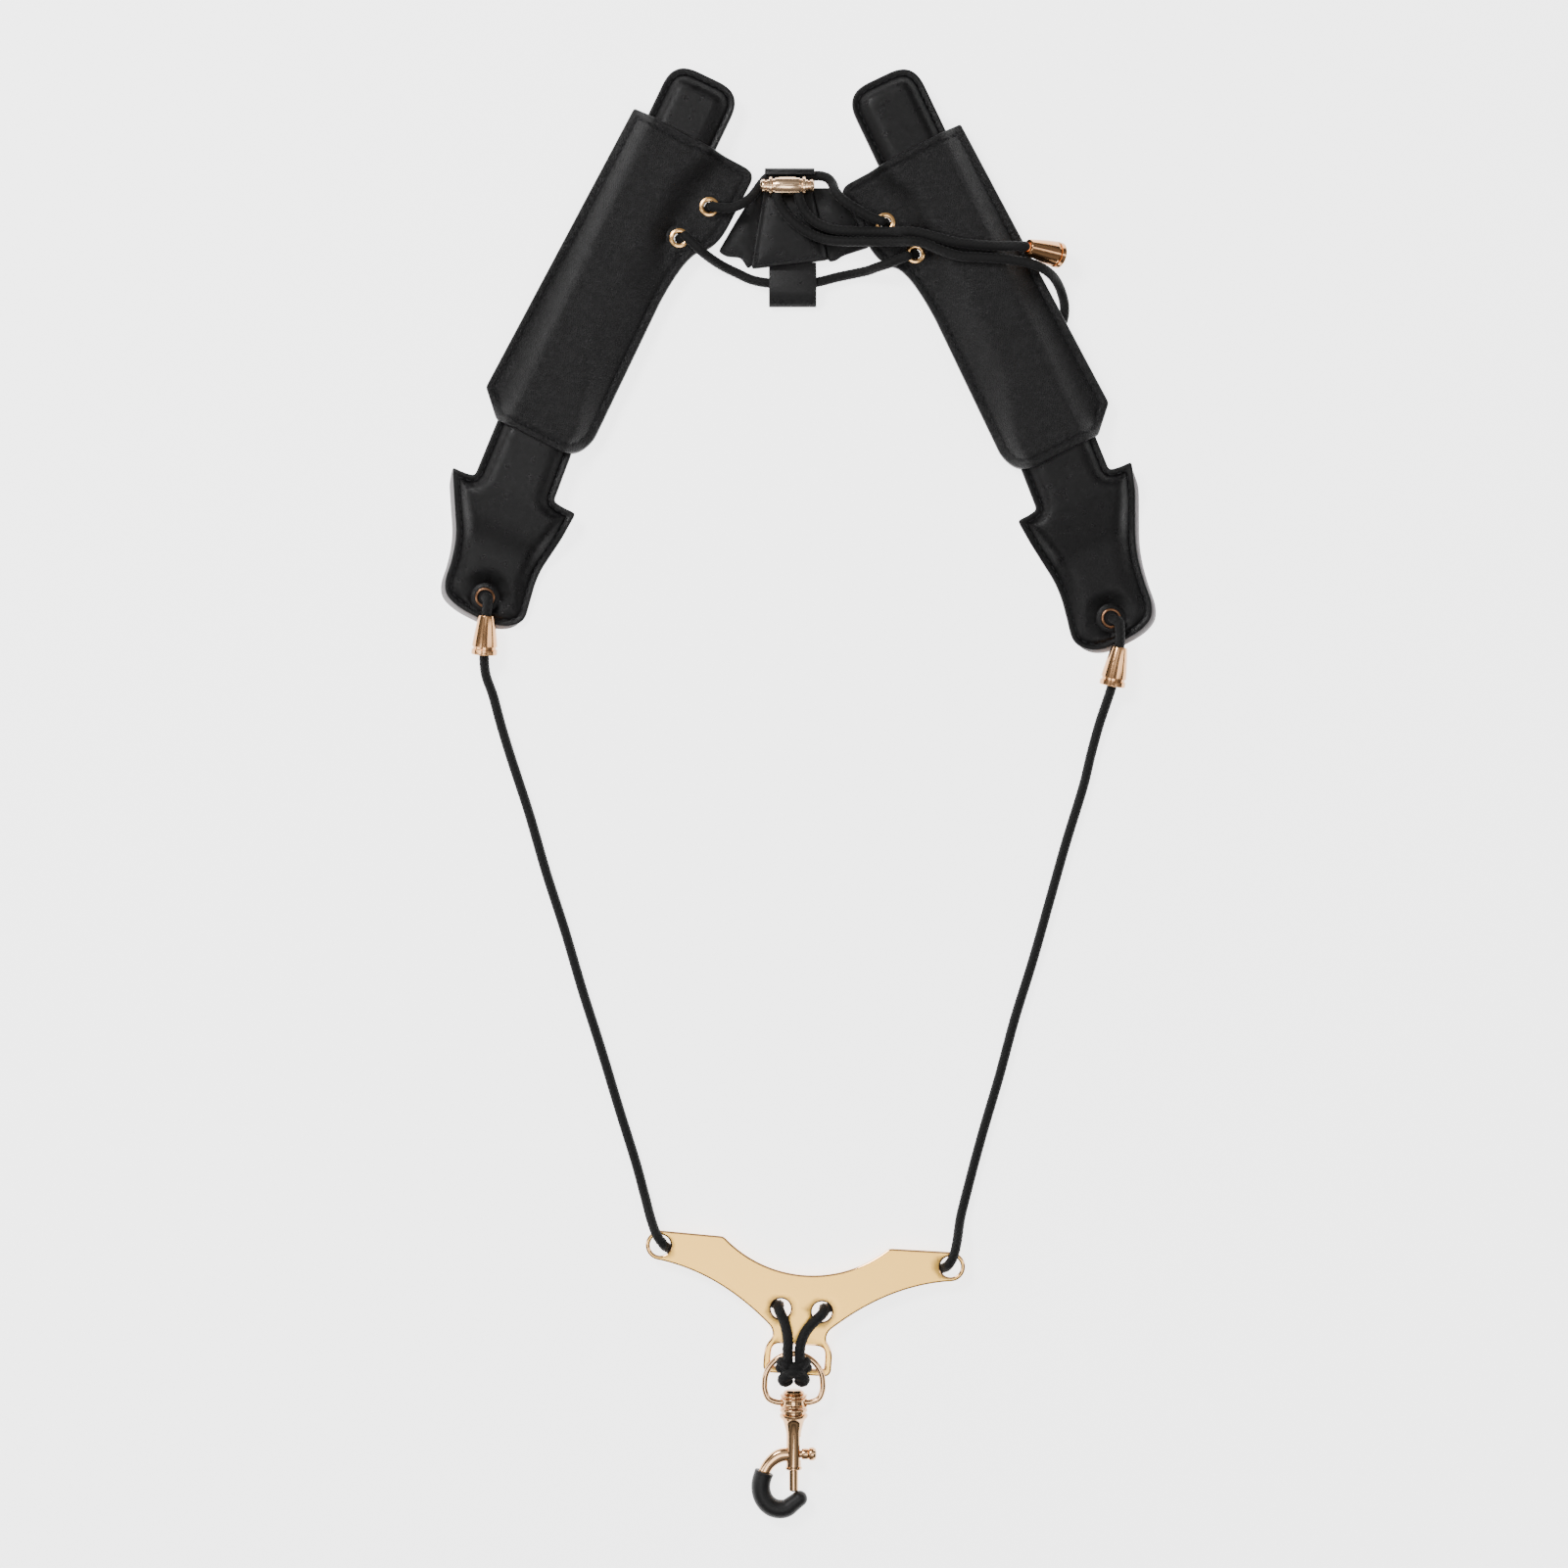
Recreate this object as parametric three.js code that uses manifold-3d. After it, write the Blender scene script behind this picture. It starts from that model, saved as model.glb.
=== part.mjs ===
// A saxophone harness laid flat on a table: two padded leather shoulder pads, a laced
// back pad with a cord lock, two cords, a metal yoke plate and a swivel snap hook.
// Units are millimetres. X runs to the right, Y from the hook up to the pads and Z up
// from the table, with the origin on the table under the middle of the harness.
import * as THREE from 'three';
import { mergeVertices } from 'three/addons/utils/BufferGeometryUtils.js';
import Module from 'manifold-3d';

const wasm = await Module();
wasm.setup();

// Driving dimensions
const gap = 0.3; // between pieces that touch
const cordDiameter = 4;
const cordRadius = cordDiameter / 2;
const degrees = Math.PI / 180;
const footprintShift = [0.85, 0.47]; // brings the middle of the footprint to the origin

// Each pad lies at padAngle to the Y axis, its sleeve's bottom middle at place.
const padAngle = 28 * degrees;
const tongueLean = 2.5 * degrees; // the tongue leans outward inside its sleeve
const pads = {
  left: { sign: -1, place: [114.2, 151.6], barbLine: -24.3, tailScale: 0.83 },
  right: { sign: 1, place: [111.7, 144.9], barbLine: -17.2, tailScale: 1 },
};

// Sleeve: a back sheet, and a front sheet that arches over the tongue
const sleeveLength = 145;
const sleeveSheet = 1.2;
const sleeveBase = cordDiameter + gap; // it lies on the lace behind it
const flangeTop = sleeveBase + sleeveSheet + gap + 1.8;
const tongueWidth = 32.5;
const tongueLength = 196;
const tongueOffset = -2.2; // middle of the barb line, across the sleeve

// Tongue layers inside the sleeve, from the bottom up
const leather = 1;
const foamThickness = 3.4;
const tongueBase = sleeveBase + sleeveSheet + 2 * gap;
const tongueTop = tongueBase + 2 * leather + foamThickness + 2 * gap;
const sleeveTop = tongueTop + gap + 1.6;
const tailFoam = 1.1; // the foam thins towards the tail's tip
const tailDrop = 28; // the tongue comes down to the table over this length

// Eyelets, in the pad's frame: across (outward is positive) and along
const eyelet = { bore: 2.35, barrel: 2.9, flange: 4.3, lip: 0.6 };
const upperEyelet = [-20, 122.8];
const lowerEyelet = [-15, 105];
const tailEyelet = [-9.3, -55];
const eyeletWaist = 3.6; // the tongue is narrower where it passes the lower eyelet

const bell = { length: 17, smallRadius: 3.1, largeRadius: 5.4, wall: 0.7, bore: 2.35 };

// Cord lock on the back pad
const lock = { x: -5.5, y: 260.4, z: 9, halfLength: 7.75, radius: 3.7, bore: 2.95 };
const lockHoles = [-10.2, -0.8];
const plunger = { radius: 2.75, button: 3.8, travel: 1.2 };

// Yoke plate: its frame is centred between the end holes
const yoke = { place: [2.2, -197.8], turn: -4.25 * degrees, thickness: 2 };
const yokeBase = cordDiameter + gap;
const yokeTop = yokeBase + yoke.thickness;
const endHole = { x: 62.2, radius: 4.5, rim: 6.3 };
const innerHole = { x: 8.8, y: -23.2, radius: 4.3 };

// Snap hook: its frame starts at the top of the ring, Y along the hook's axis.
// It slopes down to the table, so the rubber at its end lies on it.
const hookSlope = 3.1 * degrees;
const ringWire = 1.1;
const hookPlace = [-2.8, -239.3, yokeTop + 2 * gap + ringWire];
const ring = { halfWidth: 12.4, height: 21, cornerRadius: 6 };
const collar = { top: -17.6, bottom: -23, radius: 5.9 };
const shank = { top: -33, bottom: -50, radius: 3.5, bore: 2.3, boreTop: -31.2 };
const bolt = { radius: 1.95, top: -41.4, bottom: -59.2, travel: 6, knobY: -43.8 };
const rubberRadius = 4.1;
const hookWire = 2.4;
const bightSpacing = 2.55; // each cord's middle, from the middle of the ring

// Colours
const finish = {
  leather: { color: 0x1b1a1c, roughness: 0.55, metalness: 0 },
  suede: { color: 0x2a292b, roughness: 0.95, metalness: 0 },
  foam: { color: 0x4c4a4b, roughness: 1, metalness: 0 },
  cord: { color: 0x17161a, roughness: 0.7, metalness: 0 },
  gold: { color: 0xe0b68c, roughness: 0.18, metalness: 1 },
  champagne: { color: 0xdfc9a2, roughness: 0.25, metalness: 1 },
  brass: { color: 0xa07a4c, roughness: 0.35, metalness: 1 },
  steel: { color: 0xb8b8bc, roughness: 0.3, metalness: 1 },
  rubber: { color: 0x161617, roughness: 0.75, metalness: 0 },
};

// Geometry helpers

function toSolid(geometry) {
  const bare = geometry.clone();
  bare.deleteAttribute('normal');
  bare.deleteAttribute('uv');
  const merged = mergeVertices(bare);
  return new wasm.Manifold(
    new wasm.Mesh({
      numProp: 3,
      vertProperties: new Float32Array(merged.attributes.position.array),
      triVerts: new Uint32Array(merged.index.array),
    })
  );
}

function toGeometry(solid) {
  const mesh = solid.getMesh();
  const geometry = new THREE.BufferGeometry();
  geometry.setAttribute('position', new THREE.BufferAttribute(mesh.vertProperties, 3));
  geometry.setIndex(new THREE.BufferAttribute(mesh.triVerts, 1));
  geometry.computeVertexNormals();
  return geometry;
}

function combine(base, added, removed) {
  let solid = toSolid(base);
  for (const geometry of added) solid = solid.add(toSolid(geometry));
  for (const geometry of removed) solid = solid.subtract(toSolid(geometry));
  return toGeometry(solid);
}

function piece(name, geometry, look) {
  const mesh = new THREE.Mesh(geometry, new THREE.MeshStandardMaterial(finish[look]));
  mesh.name = name;
  return mesh;
}

function plate(shape, bottom, top, curveSegments = 6) {
  const geometry = new THREE.ExtrudeGeometry(shape, {
    depth: top - bottom,
    bevelEnabled: false,
    curveSegments,
  });
  return geometry.translate(0, 0, bottom);
}

function polygon(points) {
  return new THREE.Shape(points.map(([x, y]) => new THREE.Vector2(x, y)));
}

function disc(x, y, radius, bottom, top, sides = 16) {
  const geometry = new THREE.CylinderGeometry(radius, radius, top - bottom, sides);
  return geometry.rotateX(Math.PI / 2).translate(x, y, (top + bottom) / 2);
}

function spline(points) {
  return new THREE.CatmullRomCurve3(points.map((p) => new THREE.Vector3(...p)), false, 'centripetal');
}

function tube(points, radius, steps, sides = 8) {
  const section = polygon(
    Array.from({ length: sides }, (_, i) => {
      const angle = ((i + 0.5) / sides) * 2 * Math.PI;
      return [radius * Math.cos(angle), radius * Math.sin(angle)];
    })
  );
  return new THREE.ExtrudeGeometry(section, {
    steps,
    extrudePath: spline(points),
    bevelEnabled: false,
  });
}

// A body of revolution about the Y axis, from a closed profile of [radius, y]
function turned(profile, segments = 20) {
  const closed = [...profile, profile[0]];
  return new THREE.LatheGeometry(closed.map(([r, y]) => new THREE.Vector2(r, y)), segments);
}

// A body of revolution whose profile starts and ends on the Y axis
function solidTurned(profile, segments = 20) {
  return new THREE.LatheGeometry(profile.map(([r, y]) => new THREE.Vector2(r, y)), segments);
}

// A flexible sheet through rows of [along, inner edge, outer edge]; low and high give
// the heights of its faces at each row.
function sheet(rows, sign, low, high) {
  const vertices = [];
  for (const [along, inner, outer] of rows) {
    vertices.push(sign * inner, along, low(along), sign * outer, along, low(along));
    vertices.push(sign * outer, along, high(along), sign * inner, along, high(along));
  }
  const faces = [];
  const quad = (a, b, c, d) => faces.push(a, b, c, a, c, d);
  for (let row = 0; row < rows.length - 1; row += 1) {
    for (let side = 0; side < 4; side += 1) {
      const here = row * 4 + side;
      const next = row * 4 + ((side + 1) % 4);
      quad(here, next, next + 4, here + 4);
    }
  }
  const last = (rows.length - 1) * 4;
  quad(3, 2, 1, 0);
  quad(last, last + 1, last + 2, last + 3);
  // the rows run up or down and the sign mirrors, so turn the faces outward
  const upward = rows[rows.length - 1][0] > rows[0][0];
  if (sign > 0 === upward) faces.reverse();
  const geometry = new THREE.BufferGeometry();
  geometry.setAttribute('position', new THREE.Float32BufferAttribute(vertices, 3));
  geometry.setIndex(faces);
  geometry.computeVertexNormals();
  return geometry;
}

function smooth(t) {
  const s = Math.min(Math.max(t, 0), 1);
  return s * s * (3 - 2 * s);
}

// Shoulder pads

function sleeveShape(sign) {
  const shape = new THREE.Shape();
  shape.moveTo(sign * 28.2, sleeveLength);
  shape.lineTo(sign * -25.5, sleeveLength);
  shape.quadraticCurveTo(sign * -30.8, sleeveLength, sign * -30.8, sleeveLength - 5);
  shape.lineTo(sign * -31, 119);
  shape.quadraticCurveTo(sign * -31, 108, sign * -25, 103.5);
  shape.quadraticCurveTo(sign * -20.6, 98, sign * -20.6, 76);
  shape.lineTo(sign * -23.2, 13);
  shape.quadraticCurveTo(sign * -21.8, 0.5, sign * -11, 0.3);
  shape.lineTo(sign * 17, 0);
  shape.lineTo(sign * 20, 1.2);
  shape.lineTo(sign * 28.2, 10);
  return shape;
}

// The tongue as rows of [along, inner edge, outer edge] from the tail's tip to the top,
// inset by a margin all round. Zero along is the barb line.
function tongueRows(tailScale, margin) {
  const half = tongueWidth / 2 - margin;
  const barb = 27 - margin;
  const tail = [
    [-66 + margin, -17, -7],
    [-65 + margin, -22 + margin, 2 - margin],
    [-62, -26 + margin, 6.4 - margin],
    [-56.5, -28 + margin, 9.2 - margin],
    [-47, -25.8 + margin, 10.4 - margin],
    [-38, -23.8 + margin, 12 - margin],
    [-30, -23.6 + margin, 14.4 - margin],
    [-20, -25 + margin, 18.8 - margin],
    [-10, -26.5 + margin, 23.4 - margin],
  ];
  const rows = tail.map(([along, inner, outer]) => [along * tailScale, inner, outer]);
  rows.push([-margin - 0.4, -barb, barb], [-margin, -half - 0.3, half + 0.3]);
  rows.push([30, -half, half], [87, -half, half]);
  rows.push([93, -half + eyeletWaist, half], [138, -half + eyeletWaist, half]);
  rows.push([144, -half, half], [tongueLength - 20, -half, half]);
  const roundLength = 11;
  for (const angle of [0, 25, 50, 70, 85]) {
    const along = tongueLength - roundLength + (roundLength - margin) * Math.sin(angle * degrees);
    const edge = half - roundLength * (1 - Math.cos(angle * degrees));
    rows.push([along, -edge, edge]);
  }
  return rows;
}

// Height of the tongue's underside above the table
function tongueFloor(along) {
  return tongueBase * smooth((along + tailDrop) / tailDrop);
}

function foamHeight(along) {
  return tailFoam + (foamThickness - tailFoam) * smooth((along + 50) / 45);
}

function eyeletRing(bottom, top) {
  const { bore, barrel, flange, lip } = eyelet;
  const profile = [
    [bore, bottom],
    [barrel, bottom],
    [barrel, top],
    [flange, top],
    [flange - 0.4, top + lip],
    [bore + 0.4, top + lip],
  ];
  return turned(profile, 14).rotateX(Math.PI / 2);
}

function eyeletMesh(name, [across, along], sign, bottom, top) {
  const mesh = piece(name, eyeletRing(bottom, top), 'brass');
  mesh.position.set(sign * across, along, 0);
  return mesh;
}

function tongueGroup(side, { sign, barbLine, tailScale }) {
  const group = new THREE.Group();
  group.position.set(sign * tongueOffset, barbLine, 0);
  group.rotation.z = -sign * tongueLean;

  const [holeX, tipY] = tailEyelet;
  const holeY = tipY * tailScale;
  const hole = disc(sign * holeX, holeY, eyelet.barrel + gap, -1, tongueTop);
  const layer = (margin, low, high) =>
    combine(sheet(tongueRows(tailScale, margin), sign, low, high), [], [hole]);

  const foamLow = (y) => tongueFloor(y) + leather + gap;
  const foamHigh = (y) => foamLow(y) + foamHeight(y);
  const coverLow = (y) => foamHigh(y) + gap;
  const coverHigh = (y) => coverLow(y) + leather;
  group.add(piece(`tongue_lining_${side}`, layer(0, tongueFloor, (y) => tongueFloor(y) + leather), 'suede'));
  group.add(piece(`tongue_foam_${side}`, layer(1.5, foamLow, foamHigh), 'foam'));
  group.add(piece(`tongue_cover_${side}`, layer(0, coverLow, coverHigh), 'leather'));
  group.add(eyeletMesh(`eyelet_tail_${side}`, [holeX, holeY], sign, 0, coverHigh(holeY) + gap));
  return group;
}

// The channel that the tongue slides in, open at both ends of the sleeve
function tongueChannel({ sign, barbLine }) {
  const width = tongueWidth + 1.4;
  const low = sleeveBase + sleeveSheet;
  const channel = new THREE.BoxGeometry(width, tongueLength, tongueTop + gap - low);
  channel.translate(0, tongueLength / 2 - 10, (low + tongueTop + gap) / 2);
  channel.rotateZ(-sign * tongueLean).translate(sign * tongueOffset, barbLine, 0);
  const [across, along] = lowerEyelet;
  const wall = disc(sign * across, along, eyelet.flange + 0.7, 0, sleeveTop + 1);
  return combine(channel, [], [wall]);
}

function sleeveGroup(side, pad) {
  const { sign } = pad;
  const group = new THREE.Group();
  const holes = [upperEyelet, lowerEyelet].map(([across, along]) =>
    disc(sign * across, along, eyelet.barrel + gap, 0, sleeveTop)
  );
  const backTop = sleeveBase + sleeveSheet;
  const back = combine(plate(sleeveShape(sign), sleeveBase, backTop), [], holes);

  // the raised middle over the tongue, without the wing that carries the eyelets
  const raised = polygon([
    [sign * 27.2, sleeveLength],
    [sign * -13.4, sleeveLength],
    [sign * -15.2, 100],
    [sign * -19.6, 14],
    [sign * -18, 5],
    [sign * -13, 0.8],
    [sign * 17, 0],
    [sign * 27.2, 10],
  ]);
  const flange = plate(sleeveShape(sign), backTop + gap, flangeTop);
  const arch = plate(raised, backTop + gap, sleeveTop);
  const [lowerX, lowerY] = lowerEyelet;
  const seat = disc(sign * lowerX, lowerY, eyelet.flange + gap, flangeTop, sleeveTop + 1);
  const front = combine(flange, [arch], [tongueChannel(pad), seat, ...holes]);

  group.add(piece(`sleeve_back_${side}`, back, 'suede'));
  group.add(piece(`sleeve_front_${side}`, front, 'leather'));
  for (const [name, spot] of Object.entries({ upper: upperEyelet, lower: lowerEyelet })) {
    group.add(eyeletMesh(`eyelet_${name}_${side}`, spot, sign, sleeveBase, flangeTop + gap));
  }
  const [upperX, upperY] = upperEyelet;
  const behind = tube(
    [
      [sign * upperX, upperY + 1, cordRadius],
      [sign * (upperX + lowerX - 1) / 2, (upperY + lowerY) / 2, cordRadius],
      [sign * lowerX, lowerY - 1, cordRadius],
    ],
    cordRadius,
    4
  );
  group.add(piece(`lace_behind_${side}`, behind, 'cord'));
  return group;
}

function padGroup(side) {
  const pad = pads[side];
  const group = new THREE.Group();
  group.position.set(pad.sign * pad.place[0], pad.place[1], 0);
  group.rotation.z = pad.sign * padAngle;
  group.add(sleeveGroup(side, pad), tongueGroup(side, pad));
  return group;
}

// Bells: cone-shaped cord ends, hollow from the large end

function bellMesh(name, small, large) {
  const { length, smallRadius, largeRadius, wall, bore } = bell;
  const profile = [
    [bore, length],
    [smallRadius, length],
    [smallRadius + 0.5, length - 0.6],
    [largeRadius - 0.3, 3.2],
    [largeRadius - 0.7, 2.7],
    [largeRadius, 2],
    [largeRadius, 0],
    [largeRadius - wall, 0],
    [largeRadius - wall - 0.3, 3],
    [bore, length - 3],
  ];
  const mesh = piece(name, turned([...profile].reverse(), 16), 'gold');
  const from = new THREE.Vector3(...large);
  const along = new THREE.Vector3(...small).sub(from).normalize();
  mesh.position.copy(from);
  mesh.quaternion.setFromUnitVectors(new THREE.Vector3(0, 1, 0), along);
  return mesh;
}

// The two main cords, from the tail eyelets through their bells to the yoke's end holes
const mainCordRoutes = {
  left: [
    [-133.4, 83.4, 7],
    [-133.7, 79.6, 8.2],
    [-134, 76, 8],
    [-134.6, 68, 6.8],
    [-135.2, 59.4, 5.6],
    [-134.6, 51, 4.2],
    [-131.6, 42, 2.6],
    [-128.4, 30, 2],
    [-124.4, 16.8, 2],
    [-116.2, -8.4, 2],
    [-108.9, -33.6, 2],
    [-100.8, -58.8, 2],
    [-93.4, -84, 2],
    [-85.4, -109.2, 2],
    [-77.8, -134.4, 2],
    [-70, -159.6, 2],
    [-66.6, -172.2, 2.6],
    [-63.6, -182.6, 6.4],
    [-61.2, -188.6, 9],
    [-58.6, -192.6, 9],
  ],
  right: [
    [136.2, 73.4, 6.8],
    [136.7, 68, 7.5],
    [136.4, 62.4, 7.3],
    [135, 54.4, 6.4],
    [133.3, 46, 5.5],
    [130.8, 38, 4],
    [128.2, 30, 2.4],
    [124.6, 16.8, 2],
    [121.6, 4.2, 2],
    [113.9, -21, 2],
    [106.8, -46.2, 2],
    [99.7, -71.4, 2],
    [91.9, -96.6, 2],
    [85.1, -121.8, 2],
    [77.7, -147, 2],
    [71, -172.2, 2],
    [68.6, -182, 2.6],
    [67, -191.4, 6.8],
    [65.6, -197, 9],
    [63.6, -201.4, 9],
  ],
};

function mainCord(side) {
  const route = mainCordRoutes[side];
  const group = new THREE.Group();
  group.add(piece(`main_cord_${side}`, tube(route, cordRadius, 46), 'cord'));
  group.add(bellMesh(`cord_bell_${side}`, route[2], route[4]));
  return group;
}

// Back pad: lining, two folded wings, a padded middle panel, a keeper and a tab

const backLiningTop = 1;
const wingTop = backLiningTop + gap + 1.1;
const panelTop = wingTop + gap + 2.2;

function backPad() {
  const group = new THREE.Group();
  const lining = polygon([
    [-20.6, 257.2],
    [15.6, 257.4],
    [20.8, 247.8],
    [27, 232.4],
    [12.5, 228.6],
    [-20.6, 228.6],
    [-35, 231.8],
    [-28, 243.8],
  ]);
  group.add(piece('back_lining', plate(lining, 0, backLiningTop), 'suede'));

  const wings = {
    left: [
      [-21.2, 257.2],
      [-15.6, 257.2],
      [-18.6, 228.4],
      [-22.4, 224.4],
      [-25.4, 229.4],
      [-31.6, 229.8],
      [-35.2, 232],
    ],
    right: [
      [9, 257.4],
      [15.6, 257.4],
      [20.8, 247.8],
      [27.2, 232.4],
      [22, 231.6],
      [17.8, 230],
      [15.6, 228.2],
      [12.4, 227.6],
    ],
  };
  for (const [side, outline] of Object.entries(wings)) {
    const wing = plate(polygon(outline), backLiningTop + gap, wingTop);
    group.add(piece(`back_wing_${side}`, wing, 'leather'));
  }

  const panel = polygon([
    [-15.4, 256],
    [5.4, 256],
    [12, 228.2],
    [-4, 226.4],
    [-21, 224.4],
  ]);
  group.add(piece('back_panel', plate(panel, wingTop + gap, panelTop), 'leather'));
  return group;
}

// A leather strap bent into the closed outline of [y, z] points, as wide as its X range
function bentStrap(outline, left, right) {
  const shape = polygon(outline);
  const geometry = new THREE.ExtrudeGeometry(shape, { depth: right - left, bevelEnabled: false });
  // turn the drawing's XY plane into the YZ plane, extruded along X
  geometry.applyMatrix4(new THREE.Matrix4().set(0, 0, 1, left, 1, 0, 0, 0, 0, 1, 0, 0, 0, 0, 0, 1));
  return geometry;
}

function keeperLoop() {
  const outline = [
    [257.8, 0],
    [266.3, 0],
    [267.4, 1.2],
    [267.4, 6.4],
    [266.4, 7.4],
    [264.2, 7.4],
    [264.2, 6.5],
    [266, 6.5],
    [266.5, 6],
    [266.5, 1.6],
    [265.9, 1],
    [257.8, 1],
  ];
  return piece('keeper_loop', bentStrap(outline, -15.2, 6.1), 'leather');
}

function bottomTab() {
  const outline = [
    [223.6, 4.6],
    [223.6, 6.6],
    [214.4, 6.9],
    [208.4, 3.2],
    [208, 1.2],
    [209, 0],
    [227.8, 0],
    [227.8, 1],
    [213.6, 1],
    [209.6, 1.6],
    [215, 5.9],
    [222.8, 5.6],
    [222.8, 4.6],
  ];
  return piece('bottom_tab', bentStrap(outline, -13.4, 6.9), 'leather');
}

// The lace between the two sleeves, with its two loose tails

const overWing = flangeTop + gap + eyelet.lip + gap + cordRadius;
const overSleeve = sleeveTop + gap + cordRadius;
const laceRoutes = {
  lace_upper_left: [
    [-39.6, 250.8, overWing],
    [-34, 249.8, overWing],
    [-29.4, 249.8, overWing],
    [-25, 251.4, overWing],
    [-21.4, 254.2, 8.6],
    [-18.8, 257.6, 5.8],
    [-16.6, 260.8, 4.6],
    [-13.8, 263.7, 4],
    [-10.4, 263.9, 4],
  ],
  lace_upper_right: [
    [36.6, 243.6, overWing],
    [30.4, 245.6, overWing],
    [24.4, 249, overWing],
    [18.8, 252.8, overWing],
    [15, 257, 9],
    [13.8, 260.6, 6],
    [11.8, 263.2, 4.6],
    [8.4, 264.3, 4.1],
    [4, 264.1, 4],
    [-0.4, 263.9, 4],
  ],
  lace_lower: [
    [-50.6, 239.4, overWing],
    [-46, 235, overWing],
    [-41.8, 231, 10.4],
    [-37.4, 228, 6.8],
    [-32.6, 225.4, 3.4],
    [-27, 222.8, 2.4],
    [-20.6, 219.9, 2.6],
    [-13, 218.4, 3.4],
    [-3, 217.8, 3.4],
    [7, 218.8, 3.4],
    [15.6, 221, 2.6],
    [23, 222.6, 2.4],
    [28.6, 223.6, 4.6],
    [33, 224.8, 8.2],
    [37.6, 226, overWing],
    [43, 228.2, overWing],
    [47.6, 230, overWing],
  ],
  lace_tail_upper: [
    [-0.8, 262.8, lock.z],
    [-0.8, 257, lock.z],
    [-0.2, 253, 8.8],
    [2.4, 248, 8.2],
    [6.8, 243.8, 8.6],
    [14, 240.8, 9.6],
    [22, 239.9, overWing],
    [31, 239.6, overWing + 0.4],
    [38, 239.4, 12.6],
    [43, 239.2, 16],
    [49, 238.8, overSleeve],
    [58, 236.6, overSleeve],
    [66, 234.6, overSleeve],
    [76, 233.4, overSleeve],
    [86, 232.8, overSleeve],
    [92, 232.7, 18.2],
    [97.7, 232.4, 17.7],
  ],
  lace_tail_lower: [
    [-10.2, 262.8, lock.z],
    [-10.2, 257, lock.z],
    [-9.6, 253, 8.8],
    [-7, 248.6, 8.2],
    [-2.6, 243.8, 8.2],
    [3.6, 239.4, 8.2],
    [10.4, 236.6, 8.6],
    [18, 235.6, 9.8],
    [27, 235.4, overWing],
    [35, 235.2, 11.6],
    [40, 235, 13.6],
    [45.6, 234.8, overSleeve],
    [52, 234.2, overSleeve],
    [60, 231, overSleeve],
    [68, 228.6, overSleeve],
    [78, 228, overSleeve],
    [88, 227.2, overSleeve],
    [96, 225.9, overSleeve],
  ],
  lace_tail_end: [
    [96.4, 225.8, overSleeve],
    [101.4, 224.2, overSleeve],
    [106, 221.8, 13],
    [109.4, 218.8, 7.6],
    [112, 214, 3.2],
    [113.2, 208.6, 2.1],
    [112.6, 202.6, 2.1],
    [109, 197, 2.1],
    [103, 193.6, 2.1],
    [96, 192.4, 2.1],
  ],
};
const laceBell = { small: [98.3, 232.2, 17.2], large: [112.2, 229.6, 7.8] };

function lace() {
  const group = new THREE.Group();
  for (const [name, route] of Object.entries(laceRoutes)) {
    group.add(piece(name, tube(route, cordRadius, Math.round(route.length * 1.7)), 'cord'));
  }
  group.add(bellMesh('lace_bell', laceBell.small, laceBell.large));
  return group;
}

// Cord lock: a barrel with two cross holes and a sprung plunger in each end

function lockGroup() {
  const { halfLength, radius, bore } = lock;
  const group = new THREE.Group();
  group.position.set(lock.x, lock.y, lock.z);

  const alongX = (geometry) => geometry.rotateZ(-Math.PI / 2);
  const crossHole = (x, holeRadius, length) =>
    new THREE.CylinderGeometry(holeRadius, holeRadius, length, 12).translate(x, 0, 0);
  const barrelProfile = [
    [bore, -halfLength],
    [radius + 0.3, -halfLength],
    [radius + 0.3, -halfLength + 1.4],
    [radius - 0.3, -halfLength + 1.8],
    [radius + 0.2, 0],
    [radius - 0.3, halfLength - 1.8],
    [radius + 0.3, halfLength - 1.4],
    [radius + 0.3, halfLength],
    [bore, halfLength],
  ];
  const holes = lockHoles.map((x) => crossHole(x - lock.x, cordRadius + 0.2, 12));
  group.add(piece('lock_barrel', combine(alongX(turned(barrelProfile, 16)), [], holes), 'gold'));

  for (const [side, sign] of [['left', -1], ['right', 1]]) {
    const hole = lockHoles[side === 'left' ? 0 : 1] - lock.x;
    const inner = sign * hole - cordRadius - 0.9;
    const face = halfLength + plunger.button;
    const profile = [
      [0, inner],
      [plunger.radius, inner],
      [plunger.radius, halfLength + 1.4],
      [plunger.radius - 0.4, face - 0.4],
      [plunger.radius - 0.8, face],
      [0, face],
    ];
    const slotLength = plunger.travel;
    const slot = new THREE.BoxGeometry(slotLength, 12, 2 * cordRadius + 0.4);
    slot.translate(sign * (slotLength / 2) + hole, 0, 0);
    const openings = [
      crossHole(hole, cordRadius + 0.2, 12),
      crossHole(hole + sign * slotLength, cordRadius + 0.2, 12),
      slot,
    ];
    const body = solidTurned(profile, 16).rotateZ(-Math.PI / 2);
    if (sign < 0) body.rotateY(Math.PI);
    group.add(piece(`lock_plunger_${side}`, combine(body, [], openings), 'gold'));
  }
  group.add(lockSpring());
  return group;
}

function coil(radius, wire, from, to, turns, stepsPerTurn) {
  const count = turns * stepsPerTurn;
  const points = Array.from({ length: count + 1 }, (_, i) => {
    const angle = (i / stepsPerTurn) * 2 * Math.PI;
    const along = from + ((to - from) * i) / count;
    return [radius * Math.cos(angle), along, radius * Math.sin(angle)];
  });
  return tube(points, wire, count, 5);
}

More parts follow.
